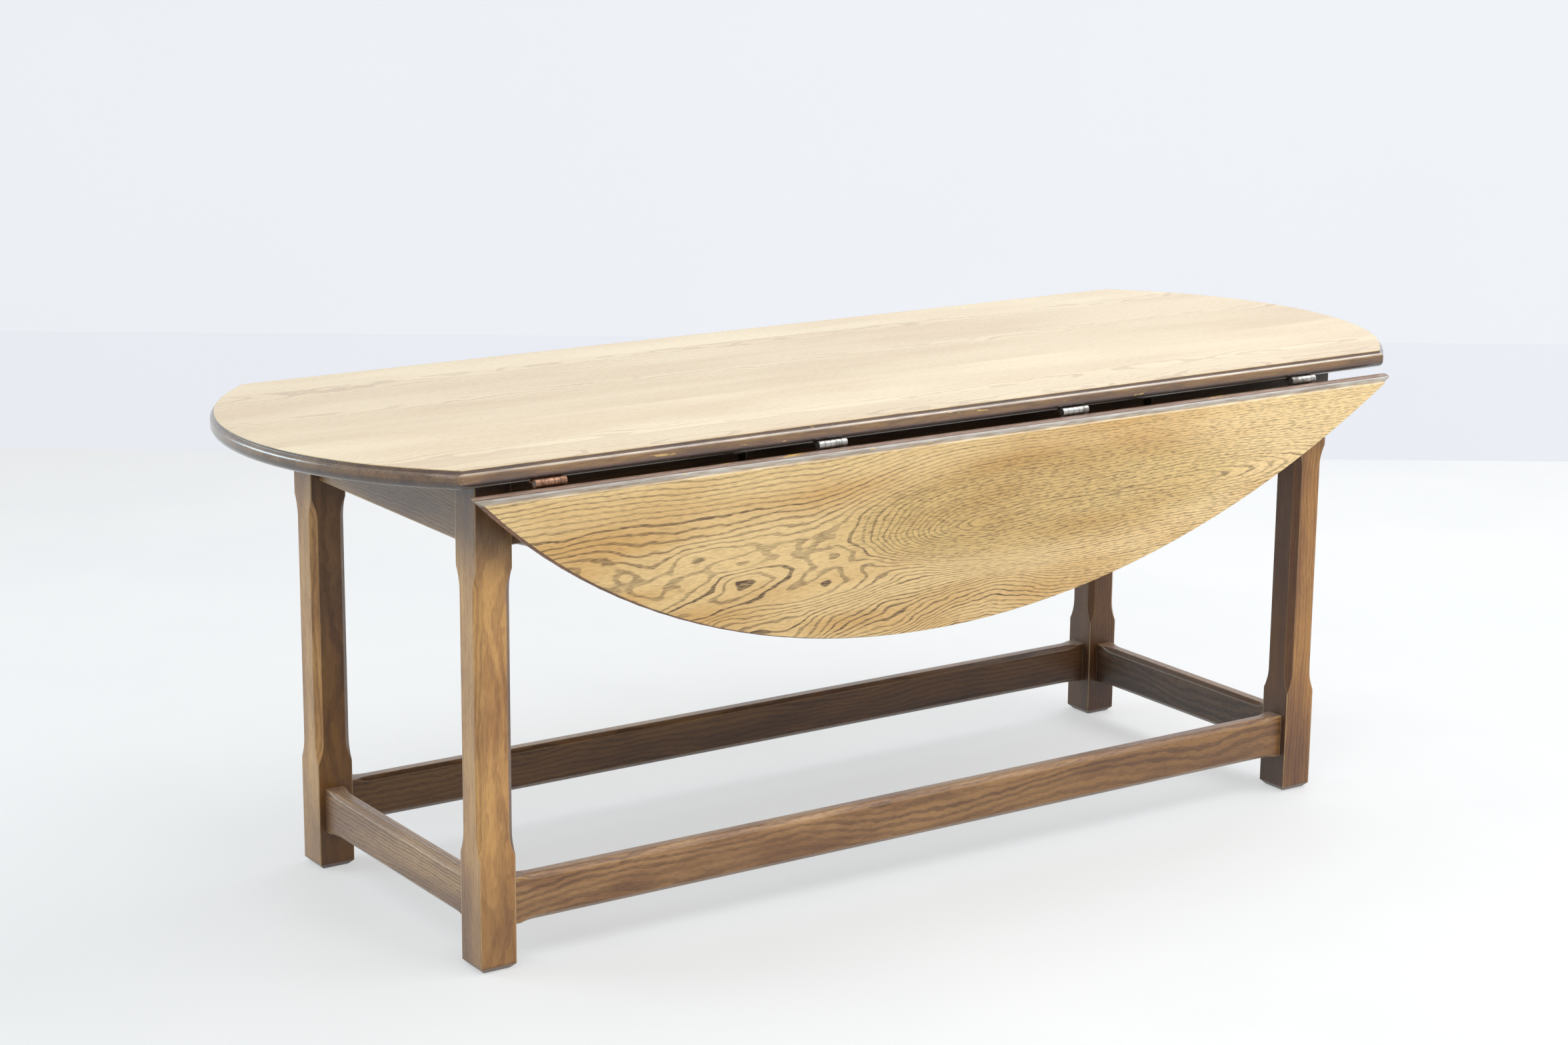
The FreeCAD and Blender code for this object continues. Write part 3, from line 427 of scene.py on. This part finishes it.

# %% [markdown]
# The fixed top is glued up from several narrower boards laid lengthwise. Each board comes from its own log,
# so the board's number picks the place of its heart and a slight tint. Its colours are paler and its figure
# far fainter than the leaf's: partly bleaching by polish and daylight, partly a painted sheen, since at
# the camera's low angle the lacquer mirrors the white wall.

# %% Fixed top
PLANK_WIDTH = 0.118
PLANKS_FROM = 0.295
BOARD_WIDTH = 0.471
HEART_SPREAD = 0.16
LOG_SHIFT = 9.0
UNDERSIDE_Z = 0.482
TOP_UNDER_Z = (0.4822, 0.4827)
STRAIGHT_EDGE_Y = (0.2322, 0.2336)
BOARD_CHIPS = (-0.2345, 0.004)
TOP_COAT = 1.0
# Pale, low-contrast colours: partly bleached wood, partly a painted sheen of the white wall.
TOP_PALE_WITH_SHEEN = colour(236, 213, 162)
TOP_DARK_WITH_SHEEN = colour(198, 168, 118)
TOP_DRIFT = colour(238, 226, 206)
PLANK_TINT = colour(242, 236, 226)
# Straight edges: stain by height, and a pale band on the upper round that is a painted highlight.
STRAIGHT_EDGE_STAIN_AND_HIGHLIGHT = [
    (UNDERSIDE_Z, colour(46, 34, 27)),
    (0.4876, colour(64, 45, 33)),
    (0.4884, colour(118, 66, 44)),
    (0.4892, colour(118, 84, 36)),
    (0.4946, colour(138, 100, 46)),
    (0.4952, colour(162, 142, 116)),
    (0.4966, colour(184, 170, 148)),
    (0.4970, colour(104, 74, 38)),
    (FACE_Z, colour(138, 94, 54)),
]
OVAL_BANDS = [
    (UNDERSIDE_Z, colour(58, 44, 34)),
    (0.4890, colour(88, 66, 48)),
    (0.4900, colour(112, 82, 50)),
    (0.4936, colour(124, 92, 56)),
    (0.4966, colour(112, 88, 66)),
    (0.4970, colour(92, 66, 44)),
    (FACE_Z, colour(116, 84, 56)),
]


def top_material():
    material, tree, shader = new_material("oak_top", TOP_COAT, 0.24)
    vector = grain_space(tree)
    axes = add(tree, "SeparateXYZ", {0: vector}).outputs
    wander = calc(tree, "MULTIPLY", noise(tree, stretched(tree, vector, 1.5, 0.0, 0.0), 1.0, 0.0), 0.004)
    from_side = calc(tree, "ADD", calc(tree, "ADD", axes[1], PLANKS_FROM), wander)
    number = calc(tree, "DIVIDE", from_side, PLANK_WIDTH)
    plank = calc(tree, "FLOOR", number)
    random = add(tree, "TexWhiteNoise", {"W": plank}, noise_dimensions="1D")
    chance = add(tree, "SeparateColor", {0: random.outputs["Color"]}).outputs
    middle = mul_add(tree, plank, PLANK_WIDTH, PLANK_WIDTH / 2 - PLANKS_FROM)
    heart = mul_add(tree, calc(tree, "SUBTRACT", chance[0], 0.5), HEART_SPREAD, middle)
    shift = add(tree, "CombineXYZ", {0: calc(tree, "MULTIPLY", chance[1], LOG_SHIFT), 1: plank}).outputs[0]
    feeds = {
        "Heart across": heart,
        "Heart depth": remap(tree, chance[2], 0.0, 1.0, 0.012 - FACE_Z, 0.045 - FACE_Z),
        "Ring width": 0.0032,
        "Bend": 0.020,
        "Swirl": 0.006,
        "Fray": 0.0020,
        "Line width": 0.42,
        "Seed": shift,
    }
    ring = ring_node(tree, vector, feeds)
    face = wood_colour(tree, ring, TOP_PALE_WITH_SHEEN, TOP_DARK_WITH_SHEEN, 0.25)
    face = drift(tree, ring.outputs["Tone"], face, TOP_DRIFT, 0.35, 0.7, 0.9)
    face = drift(tree, chance[0], face, PLANK_TINT, 0.0, 1.0, 1.0)
    edges = wear_node(tree, *MOULDING_WEAR)
    level = face_mask(tree, axes[2], FACE_Z)
    # The pale band on the straight edges is a painted highlight.
    straight = remap(tree, calc(tree, "ABSOLUTE", axes[1]), *STRAIGHT_EDGE_Y)
    moulding = blend_colours(tree, straight, bands(tree, axes[2], UNDERSIDE_Z, FACE_Z, OVAL_BANDS),
                             bands(tree, axes[2], UNDERSIDE_Z, FACE_Z, STRAIGHT_EDGE_STAIN_AND_HIGHLIGHT))
    stain = stained(tree, vector, edges, moulding)
    below = chipped(tree, vector, stain, *BOARD_CHIPS)
    surface = blend_colours(tree, level, below, face)
    under = remap(tree, axes[2], *TOP_UNDER_Z, 1.0, 0.0)
    surface = bare_underside(tree, shader, surface, ring, under, TOP_COAT)
    finish_oak(tree, shader, surface, ring, edges, 0.34, 0.46, calc(tree, "MAXIMUM", level, under))
    shader.inputs["Coat IOR"].default_value = 1.6
    return material


top_oak = top_material()
print("top boards across:", math.ceil(BOARD_WIDTH / PLANK_WIDTH))

# %% [markdown]
# Legs, aprons and stretchers are sawn square from straight timber and stained a mid to dark brown. Their
# grain runs along the piece, so the same recipe is turned upright for the legs and along each rail. Old
# polish and dirt darken them in patches. Painted shade darkens them close under the top, nearly to black
# in the gap just under the board, and on the faces that look in under the table, which the surface normal
# tells apart. They are also darker low on the feet, along the bottom rim and towards the right end. The
# long chamfers are rubbed pale, where feet and hands have met them.

# %% Frame timber
LEG_PALE = colour(198, 150, 86)
LEG_DARK = colour(158, 114, 64)
RAIL_PALE = colour(192, 150, 98)
RAIL_DARK = colour(132, 96, 60)
BLOCK_PALE = colour(186, 152, 104)
BLOCK_DARK = colour(126, 92, 56)
GRIME = colour(176, 152, 128)
UNDER_TOP_SHADE = colour(116, 106, 98)
GAP_SHADE = colour(30, 25, 22)
FOOT_RIM_DARKER = colour(66, 44, 32)
FAR_SIDE = colour(212, 198, 168)
FEET_DARKER = colour(174, 160, 144)
INNER_SIDE_SHADE = colour(164, 152, 126)
RUBBED = colour(226, 190, 138)
UNDER_TOP_SHADE_Z = (0.37, 0.435)
GAP_SHADE_Z = (0.452, 0.472)
FEET_Z = (0.03, 0.13)
FOOT_RIM_Z = (0.003, 0.009)
FAR_SIDE_X = (-0.3, 0.45)
FRAME_COAT = 0.3
INNER_COAT = 0.05
CHAMFER_WEAR = 0.0030


def frame_material(name, turn, seed, pale, dark, worn=1.0):
    material, tree, shader = new_material(name, FRAME_COAT, 0.26)
    vector = grain_space(tree, (0, 0, 0), turn)
    feeds = {
        "Heart across": 0.9,
        "Heart depth": 0.35,
        "Ring width": 0.0030,
        "Bend": 0.014,
        "Swirl": 0.004,
        "Fray": 0.0022,
        "Line width": 0.6,
        "Seed": seed,
    }
    ring = ring_node(tree, vector, feeds)
    surface = wood_colour(tree, ring, pale, dark, 0.3)
    cloud = noise(tree, stretched(tree, vector, 5.0, 24.0, 24.0), 1.0, 4.0, 0.65)
    surface = drift(tree, cloud, surface, GRIME, 0.36, 0.66, 0.8)
    own = add(tree, "TexCoord").outputs
    where = add(tree, "SeparateXYZ", {0: own["Object"]}).outputs
    # Painted shade: the frame is darker close under the top, where the board and leaf shade it.
    surface = drift(tree, where[2], surface, UNDER_TOP_SHADE, *UNDER_TOP_SHADE_Z, 0.85)
    # Painted shade: nearly black in the narrow gap just under the board.
    surface = blend_colours(tree, remap(tree, where[2], *GAP_SHADE_Z, 0.0, 0.9), surface, GAP_SHADE)
    surface = drift(tree, where[0], surface, FAR_SIDE, *FAR_SIDE_X, 1.0)
    # The feet are darker towards the bottom.
    feet = remap(tree, where[2], *FEET_Z, 0.7, 0.0)
    surface = blend_colours(tree, feet, surface, FEET_DARKER, "MULTIPLY")
    # Painted shade: faces that look in under the table are darkened, as the table shades them.
    outward = stretched(tree, own["Object"], 1.0, 1.0, 0.0)
    facing = add(tree, "VectorMath", {0: own["Normal"], 1: outward}, operation="DOT_PRODUCT")
    inner = remap(tree, facing.outputs["Value"], -0.08, 0.0, 1.0, 0.0)
    surface = blend_colours(tree, inner, surface, INNER_SIDE_SHADE, "MULTIPLY")
    tree.links.new(remap(tree, inner, 0.0, 1.0, FRAME_COAT, INNER_COAT), shader.inputs["Coat Weight"])
    # Darker still along the bottom rim of each foot.
    surface = blend_colours(tree, remap(tree, where[2], *FOOT_RIM_Z, 0.8, 0.0), surface, FOOT_RIM_DARKER)
    edges = wear_node(tree, CHAMFER_WEAR, worn, 0.35)
    surface = blend_colours(tree, edges.outputs["Wear"], surface, RUBBED)
    finish_oak(tree, shader, surface, ring, edges, 0.36, 0.5)
    shader.inputs["Sheen Weight"].default_value = 0.2
    shader.inputs["Sheen Roughness"].default_value = 0.45
    return material


leg_oak = frame_material("oak_leg", (0, 90, 0), (3.1, 0.4, 0.9), LEG_PALE, LEG_DARK)
rail_oak_long = frame_material("oak_rail_long", (0, 0, 0), (1.7, 0.2, 0.5), RAIL_PALE, RAIL_DARK)
rail_oak_end = frame_material("oak_rail_end", (0, 0, 90), (5.2, 0.7, 0.1), RAIL_PALE, RAIL_DARK)
block_oak = frame_material("oak_block", (0, 0, 45), (8.2, 1.7, 0.3), BLOCK_PALE, BLOCK_DARK, 0.2)
print("frame materials:", leg_oak.name, rail_oak_long.name, rail_oak_end.name, block_oak.name)

# %% [markdown]
# The hinge knuckles show bright nickel in the dark gap, except the first at the left, which has kept its
# copper colour. The metal is never clean: a fine brushed scratch, cloudy tarnish and dull edges keep it
# from looking like chrome. The screws are plain steel with more tarnish. The folding stays are painted
# nearly black, a painted shade, so that they sink into the shaded gap under the top.

# %% Metal fittings
def metal_material(name, clean, tarnish, smooth, rough, amount):
    material, tree, shader = new_material(name, 0.0, 0.1)
    shader.inputs["Metallic"].default_value = 1.0
    where = add(tree, "TexCoord").outputs["Object"]
    cloud = remap(tree, noise(tree, where, 90.0, 4.0, 0.65), 0.42, 0.68, 0.0, amount)
    scratch = noise(tree, stretched(tree, where, 40.0, 2600.0, 2600.0), 1.0, 2.0)
    edges = wear_node(tree, 0.0006, 0.5, 0.5)
    surface = blend_colours(tree, cloud, clean, tarnish)
    surface = blend_colours(tree, edges.outputs["Wear"], surface, clean)
    tree.links.new(surface, shader.inputs["Base Color"])
    dull = calc(tree, "ADD", remap(tree, cloud, 0.0, 1.0, smooth, rough),
                calc(tree, "MULTIPLY", scratch, 0.12))
    tree.links.new(dull, shader.inputs["Roughness"])
    height = calc(tree, "ADD", scratch, cloud)
    emboss(tree, shader, height, edges.outputs["Normal"], 0.15, 0.0001)
    return material


nickel = metal_material("metal_nickel", colour(184, 182, 178), colour(104, 94, 84), 0.24, 0.45, 0.8)
copper = metal_material("metal_copper", colour(172, 134, 110), colour(100, 66, 48), 0.3, 0.5, 0.8)
steel = metal_material("metal_steel", colour(176, 172, 166), colour(84, 68, 54), 0.28, 0.55, 0.8)
# Painted shade: the stays are nearly black so they vanish in the shaded gap.
shaded_stay_steel = metal_material("metal_shaded_stay_steel", colour(84, 76, 68), colour(44, 38, 34), 0.35, 0.6, 0.8)
print("metals:", nickel.name, copper.name, steel.name, shaded_stay_steel.name)

# %% [markdown]
# Each solid has one material slot. We fill it by the piece's name, and the rails by the way they run.

# %% Dress the pieces
DRESS = [
    ("top_board", top_oak),
    ("leaf_front", leaf_front_oak),
    ("leaf_back", leaf_back_oak),
    ("leg_", leg_oak),
    ("apron_front", rail_oak_long),
    ("apron_back", rail_oak_long),
    ("apron_", rail_oak_end),
    ("stretcher_front", rail_oak_long),
    ("stretcher_back", rail_oak_long),
    ("stretcher_", rail_oak_end),
    ("corner_block_", block_oak),
    ("hinge_top_plate_front_1", copper),
    ("hinge_leaf_plate_front_1", copper),
    ("hinge_top_plate_", nickel),
    ("hinge_leaf_plate_", nickel),
    ("hinge_pins_", nickel),
    ("hinge_screws_", steel),
    ("block_screws_", steel),
    ("stay_screws_", steel),
    ("stay_", shaded_stay_steel),
]
for name, piece in parts.items():
    chosen = next(material for start, material in DRESS if name.startswith(start))
    if not piece.material_slots:
        piece.data.materials.append(chosen)
    for slot in piece.material_slots:
        slot.material = chosen
print("dressed:", len(parts))

# %% [markdown]
# Every plate, stay and corner block is held by countersunk wood screws with a plain slot. The solids say
# where each screw sits, but a turned cone has no slot. One Geometry Nodes tree makes a better screw: a cone
# for the head with a slot cut across it by a boolean, a shank and a point. It stands a copy on every point
# it is given, turned by a random angle, since nobody lines up the slots of furniture screws. A fixed seed
# keeps the angles the same.

# %% Tree of slotted screws
screw_tree = bpy.data.node_groups.new("slotted_screws", "GeometryNodeTree")
screw_tree.interface.new_socket("Geometry", in_out="INPUT", socket_type="NodeSocketGeometry")
SCREW_SIZES = {"Head radius": 0.0035, "Shank radius": 0.0017, "Point length": 0.003,
               "Slot width": 0.0009, "Slot depth": 0.0010}
for label, value in SCREW_SIZES.items():
    socket = screw_tree.interface.new_socket(label, in_out="INPUT", socket_type="NodeSocketFloat")
    socket.default_value = value
seed_socket = screw_tree.interface.new_socket("Seed", in_out="INPUT", socket_type="NodeSocketInt")
metal_socket = screw_tree.interface.new_socket("Metal", in_out="INPUT", socket_type="NodeSocketMaterial")
screw_tree.interface.new_socket("Geometry", in_out="OUTPUT", socket_type="NodeSocketGeometry")
given = screw_tree.nodes.new("NodeGroupInput").outputs
out = screw_tree.nodes.new("NodeGroupOutput").inputs


def place_node(kind, feeds=None, **settings):
    return add(screw_tree, kind, feeds, **settings)


def sum_of(a, b, operation="ADD"):
    return place_node("ShaderNodeMath", {0: a, 1: b}, operation=operation).outputs[0]


def cone(low_radius, high_radius, height, top):
    feeds = {"Vertices": 20, "Radius Top": high_radius, "Radius Bottom": low_radius, "Depth": height}
    shape = place_node("GeometryNodeMeshCone", feeds).outputs["Mesh"]
    drop = place_node("ShaderNodeCombineXYZ", {2: sum_of(top, height, "SUBTRACT")}).outputs[0]
    return place_node("GeometryNodeTransform", {"Geometry": shape, "Translation": drop}).outputs[0]


head_height = sum_of(given["Head radius"], given["Shank radius"], "SUBTRACT")
head = cone(given["Shank radius"], given["Head radius"], head_height, 0.0)
slot_size = place_node("ShaderNodeCombineXYZ", {0: sum_of(given["Head radius"], 3.0, "MULTIPLY"),
                                                1: given["Slot width"],
                                                2: sum_of(given["Slot depth"], 2.0, "MULTIPLY")}).outputs[0]
slot_cutter = place_node("GeometryNodeMeshCube", {"Size": slot_size}).outputs["Mesh"]
slotting = place_node("GeometryNodeMeshBoolean", {0: head, 1: slot_cutter}, operation="DIFFERENCE")
slotted = slotting.outputs["Mesh"]
shank = cone(given["Shank radius"], given["Shank radius"], 1.0, 0.0)
point = cone(0.0001, given["Shank radius"], given["Point length"], 0.0)
print("group:", screw_tree.name, len(screw_tree.nodes), "nodes")

# %% [markdown]
# The points carry two facts each, as attributes: which way the head looks, and how long the screw is. The
# head and the point are instanced as they are, and the shank is stretched to fill the length between them.

# %% Stand a screw on every point
def fact(name, kind):
    return place_node("GeometryNodeInputNamedAttribute", {"Name": name}, data_type=kind).outputs["Attribute"]


way = fact("way", "FLOAT_VECTOR")
reach = fact("reach", "FLOAT")
upright = place_node("FunctionNodeAlignRotationToVector", {"Vector": way}, axis="Z").outputs[0]
chance = place_node("FunctionNodeRandomValue", {2: 0.0, 3: math.pi, "Seed": given["Seed"]},
                    data_type="FLOAT").outputs[1]
spin = place_node("FunctionNodeAxisAngleToRotation", {"Axis": (0, 0, 1), "Angle": chance}).outputs[0]
turned = place_node("FunctionNodeRotateRotation", {"Rotation": upright, "Rotate By": spin},
                    rotation_space="LOCAL").outputs[0]
below_head = sum_of(sum_of(reach, head_height, "SUBTRACT"), given["Point length"], "SUBTRACT")
stretch = place_node("ShaderNodeCombineXYZ", {0: 1.0, 1: 1.0, 2: below_head}).outputs[0]


def lowered(amount):
    shift = place_node("ShaderNodeVectorMath", {0: way, "Scale": sum_of(amount, -1.0, "MULTIPLY")},
                       operation="SCALE").outputs[0]
    return place_node("GeometryNodeSetPosition", {"Geometry": given["Geometry"], "Offset": shift}).outputs[0]


def stand(points, shape, scale=(1.0, 1.0, 1.0)):
    feeds = {"Points": points, "Instance": shape, "Rotation": turned, "Scale": scale}
    return place_node("GeometryNodeInstanceOnPoints", feeds).outputs[0]


gather = place_node("GeometryNodeJoinGeometry")
for copies in (stand(given["Geometry"], slotted),
               stand(lowered(head_height), shank, stretch),
               stand(lowered(sum_of(reach, given["Point length"], "SUBTRACT")), point)):
    screw_tree.links.new(copies, gather.inputs[0])
solid = place_node("GeometryNodeRealizeInstances", {"Geometry": gather.outputs[0]}).outputs[0]
dressed = place_node("GeometryNodeSetMaterial", {"Geometry": solid, "Material": given["Metal"]}).outputs[0]
screw_tree.links.new(dressed, out["Geometry"])
print("group:", screw_tree.name, len(screw_tree.nodes), "nodes")

# %% [markdown]
# Where the screws sit is read from the solids. A solid arrives as loose triangles, so a copy is merged and
# walked island by island. The corners wait in a dict, which keeps the mesh's own order, so each screw has the
# same number and the same angle in each run. On each island the point of the screw is the corner furthest
# from the middle, and the line from there through the middle gives the way the head looks.

# %% Find the screws
def islands(piece):
    shape = bmesh.new()
    shape.from_mesh(piece.data)
    bmesh.ops.remove_doubles(shape, verts=shape.verts, dist=1e-6)
    waiting = dict.fromkeys(shape.verts)
    found = []
    while waiting:
        reached = [waiting.popitem()[0]]
        for corner in reached:
            for edge in corner.link_edges:
                near = edge.other_vert(corner)
                if near in waiting:
                    del waiting[near]
                    reached.append(near)
        found.append([corner.co.copy() for corner in reached])
    shape.free()
    return found


def screw_facts(corners):
    middle = sum(corners, Vector()) / len(corners)
    tip = max(corners, key=lambda corner: (corner - middle).length)
    way = (middle - tip).normalized()
    length = max((corner - tip).dot(way) for corner in corners)
    return tip + way * length, way, length


SCREW_STARTS = ("hinge_screws_", "block_screws_", "stay_screws_")
SCREW_SEED = 7
screw_count = 0
for body, members in frame["record"]["behaviour"]["bodies"].items():
    names = [name for name in members if name.startswith(SCREW_STARTS)]
    if not names:
        continue
    facts = [screw_facts(corners) for name in names for corners in islands(parts[name])]
    points = bpy.data.meshes.new("screw_points_" + body)
    points.from_pydata([fact[0] for fact in facts], [], [])
    points.attributes.new("way", "FLOAT_VECTOR", "POINT")
    points.attributes.new("reach", "FLOAT", "POINT")
    for index, (_, way_out, length) in enumerate(facts):
        points.attributes["way"].data[index].vector = way_out
        points.attributes["reach"].data[index].value = length
    holder = bpy.data.objects.new("screws_" + body, points)
    bpy.context.scene.collection.objects.link(holder)
    modifier = holder.modifiers.new("screws", "NODES")
    modifier.node_group = screw_tree
    modifier[seed_socket.identifier] = SCREW_SEED
    modifier[metal_socket.identifier] = steel
    bpy.context.view_layer.update()
    seen_now = holder.evaluated_get(bpy.context.evaluated_depsgraph_get())
    finished = bpy.data.meshes.new_from_object(seen_now)
    holder.modifiers.clear()
    holder.data = finished
    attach(holder, body)
    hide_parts(*names)
    screw_count += len(facts)
    print(holder.name, len(facts), "screws,", len(finished.polygons), "faces")
print("screws:", screw_count)

# %% [markdown]
# The studio is a pale floor that meets a white wall about 1.8 m behind the table, with a low skirting board
# whose top edge shows as a faint line. Each sheet is painted on one side and clear from the other, so that
# views from behind and from below work. To the camera and in reflections a share of the paint glows at a
# strength of one, which whitens the background without more light on the table.

# %% Studio
def flat_sheet(name, corners, material):
    mesh = bpy.data.meshes.new(name)
    mesh.from_pydata(corners, [], [tuple(range(len(corners)))])
    mesh.materials.append(material)
    sheet = bpy.data.objects.new(name, mesh)
    bpy.context.scene.collection.objects.link(sheet)
    return sheet


def seen_directly(tree):
    paths = add(tree, "LightPath").outputs
    mirrored = calc(tree, "MAXIMUM", paths["Is Glossy Ray"], paths["Is Transmission Ray"])
    return calc(tree, "MAXIMUM", paths["Is Camera Ray"], mirrored)


CLOUD_TINT = colour(248, 249, 250)


def studio_material(name, shade, bounce, shown_shade, glow):
    material, tree, shader = new_material(name, 0.0, 0.5)
    where = add(tree, "TexCoord").outputs["Object"]
    cloud = noise(tree, where, 1.3, 4.0, 0.6)
    shader.inputs["Roughness"].default_value = 0.6
    shader.inputs["Specular IOR Level"].default_value = 0.25
    lit = add(tree, "Emission", {"Color": shown_shade, "Strength": 1.0}).outputs[0]
    seen = seen_directly(tree)
    ground = blend_colours(tree, seen, bounce, shade)
    tint = drift(tree, cloud, ground, CLOUD_TINT, 0.35, 0.65, 1.0)
    tree.links.new(tint, shader.inputs["Base Color"])
    share = calc(tree, "MULTIPLY", seen, glow)
    shown = add(tree, "MixShader", {0: share, 1: shader.outputs[0], 2: lit}).outputs[0]
    back = add(tree, "NewGeometry").outputs["Backfacing"]
    clear = add(tree, "BsdfTransparent").outputs[0]
    shown = add(tree, "MixShader", {0: back, 1: shown, 2: clear}).outputs[0]
    tree.links.new(shown, tree.nodes["Material Output"].inputs["Surface"])
    return material


WHITE = colour(254, 255, 255)
WALL_SHADE = colour(236, 239, 244)
WALL_SHOWN = colour(239, 242, 247)
SKIRTING_SHOWN = colour(235, 238, 244)
FLOOR_SHADE = colour(224, 224, 224)
FLOOR_BOUNCE = colour(196, 196, 196)
WALL_GLOW = 0.88
FLOOR_GLOW = 0.46
floor_paint = studio_material("studio_floor", FLOOR_SHADE, FLOOR_BOUNCE, WHITE, FLOOR_GLOW)
wall_paint = studio_material("studio_wall", WALL_SHADE, WALL_SHADE, WALL_SHOWN, WALL_GLOW)
skirting_paint = studio_material("studio_skirting", WALL_SHADE, WALL_SHADE, SKIRTING_SHOWN, WALL_GLOW)

VIEW_AZIMUTH = -33.99
WALL_DISTANCE = 1.845
WALL_HALF_WIDTH = 5.0
WALL_HEIGHT = 3.2
SKIRTING_HEIGHT = 0.195
SKIRTING_THICKNESS = 0.012
FLOOR_HALF = 9
away = Vector((-math.sin(math.radians(VIEW_AZIMUTH)), math.cos(math.radians(VIEW_AZIMUTH)), 0))
along = Vector((away.y, -away.x, 0))


def wall_corners(distance, height):
    right_foot = away * distance + along * WALL_HALF_WIDTH
    left_foot = away * distance - along * WALL_HALF_WIDTH
    up = Vector((0, 0, height))
    return [right_foot, right_foot + up, left_foot + up, left_foot]


floor_corners = [(x * FLOOR_HALF, y * FLOOR_HALF, 0) for x, y in ((-1, -1), (1, -1), (1, 1), (-1, 1))]
flat_sheet("studio_floor", floor_corners, floor_paint)
skirting_corners = wall_corners(WALL_DISTANCE - SKIRTING_THICKNESS, SKIRTING_HEIGHT)
flat_sheet("studio_wall", wall_corners(WALL_DISTANCE, WALL_HEIGHT), wall_paint)
flat_sheet("studio_skirting", skirting_corners, skirting_paint)
print("wall stands", WALL_DISTANCE, "m behind the table")

# %% [markdown]
# The light is plain and soft. A white sky lights every side evenly, and a wide lamp overhead gives the
# shadow under the table. A soft box at the front right lights the leaf and the fronts of the legs. It is
# kept out of reflections, because in views from behind the lacquered top would mirror it as a white patch.
# One lamp at the right lights the top and the right end, and a cool one at the left rear draws the grey
# sheen on the sides of the legs.

# %% Light
def wide_lamp(name, place, target, width, height, power):
    light = bpy.data.lights.new(name, "AREA")
    light.shape = "RECTANGLE"
    light.size = width
    light.size_y = height
    light.energy = power
    lamp = bpy.data.objects.new(name, light)
    lamp.location = place
    lamp.rotation_euler = (Vector(target) - Vector(place)).to_track_quat("-Z", "Y").to_euler()
    bpy.context.scene.collection.objects.link(lamp)
    return lamp


world = bpy.data.worlds.new("studio_sky")
world.use_nodes = True
sky = world.node_tree
background = sky.nodes["Background"]
background.inputs["Color"].default_value = (0.97, 0.985, 1.0, 1.0)
background.inputs["Strength"].default_value = 0.56
seen = add(sky, "Background", {"Color": colour(241, 243, 247), "Strength": 1.0})
chosen = add(sky, "MixShader", {0: seen_directly(sky), 1: background.outputs[0], 2: seen.outputs[0]})
sky.links.new(chosen.outputs[0], sky.nodes["World Output"].inputs["Surface"])
bpy.context.scene.world = world

wide_lamp("overhead_lamp", (-1.2, -1.9, 2.9), (0, -0.5, 0.3), 3.4, 2.6, 34)
front = wide_lamp("front_lamp", (1.0, -3.4, 1.6), (0, 0, 0.3), 2.8, 2.0, 50)
front.visible_glossy = False
wide_lamp("right_lamp", (1.6, -0.3, 2.5), (0.2, -0.2, 0.5), 3.2, 1.6, 50)
rear = wide_lamp("rear_lamp", (-2.6, 2.0, 1.05), (0, 0, 0.45), 2.2, 1.2, 12)
rear.data.spread = math.radians(75)
rear.data.color = (0.72, 0.92, 1.0)
print("lamps:", len(bpy.data.lights))

# %% [markdown]
# The camera stands low and to the left of the table, about 3.4 m away, with a long lens. Its place was
# worked out from the table's own straight edges, so the render lies over the photo.

# %% Camera
CAMERA_PLACE = Vector((-1.8638, -2.6789, 1.1268))
CAMERA_ELEVATION = 13.685
CAMERA_ROLL = 0.49
FOCAL_PIXELS = 4777
PHOTO_WIDTH = 2352
SENSOR = 36.0

azimuth, elevation, roll = (math.radians(a) for a in (VIEW_AZIMUTH, CAMERA_ELEVATION, CAMERA_ROLL))
backward = Vector((math.sin(azimuth) * math.cos(elevation), -math.cos(azimuth) * math.cos(elevation),
                   math.sin(elevation)))
right = Vector((math.cos(azimuth), math.sin(azimuth), 0))
upward = backward.cross(right)
level, plumb = right, upward
right = level * math.cos(roll) + plumb * math.sin(roll)
upward = plumb * math.cos(roll) - level * math.sin(roll)
lens = bpy.data.cameras.new("camera")
lens.sensor_width = SENSOR
lens.lens = FOCAL_PIXELS / PHOTO_WIDTH * SENSOR
camera = bpy.data.objects.new("camera", lens)
turn = Matrix((right, upward, backward)).transposed().to_4x4()
camera.matrix_world = Matrix.Translation(CAMERA_PLACE) @ turn
bpy.context.scene.collection.objects.link(camera)
bpy.context.scene.camera = camera
bpy.context.scene.view_settings.view_transform = "Standard"
print("lens:", round(lens.lens, 2), "mm")
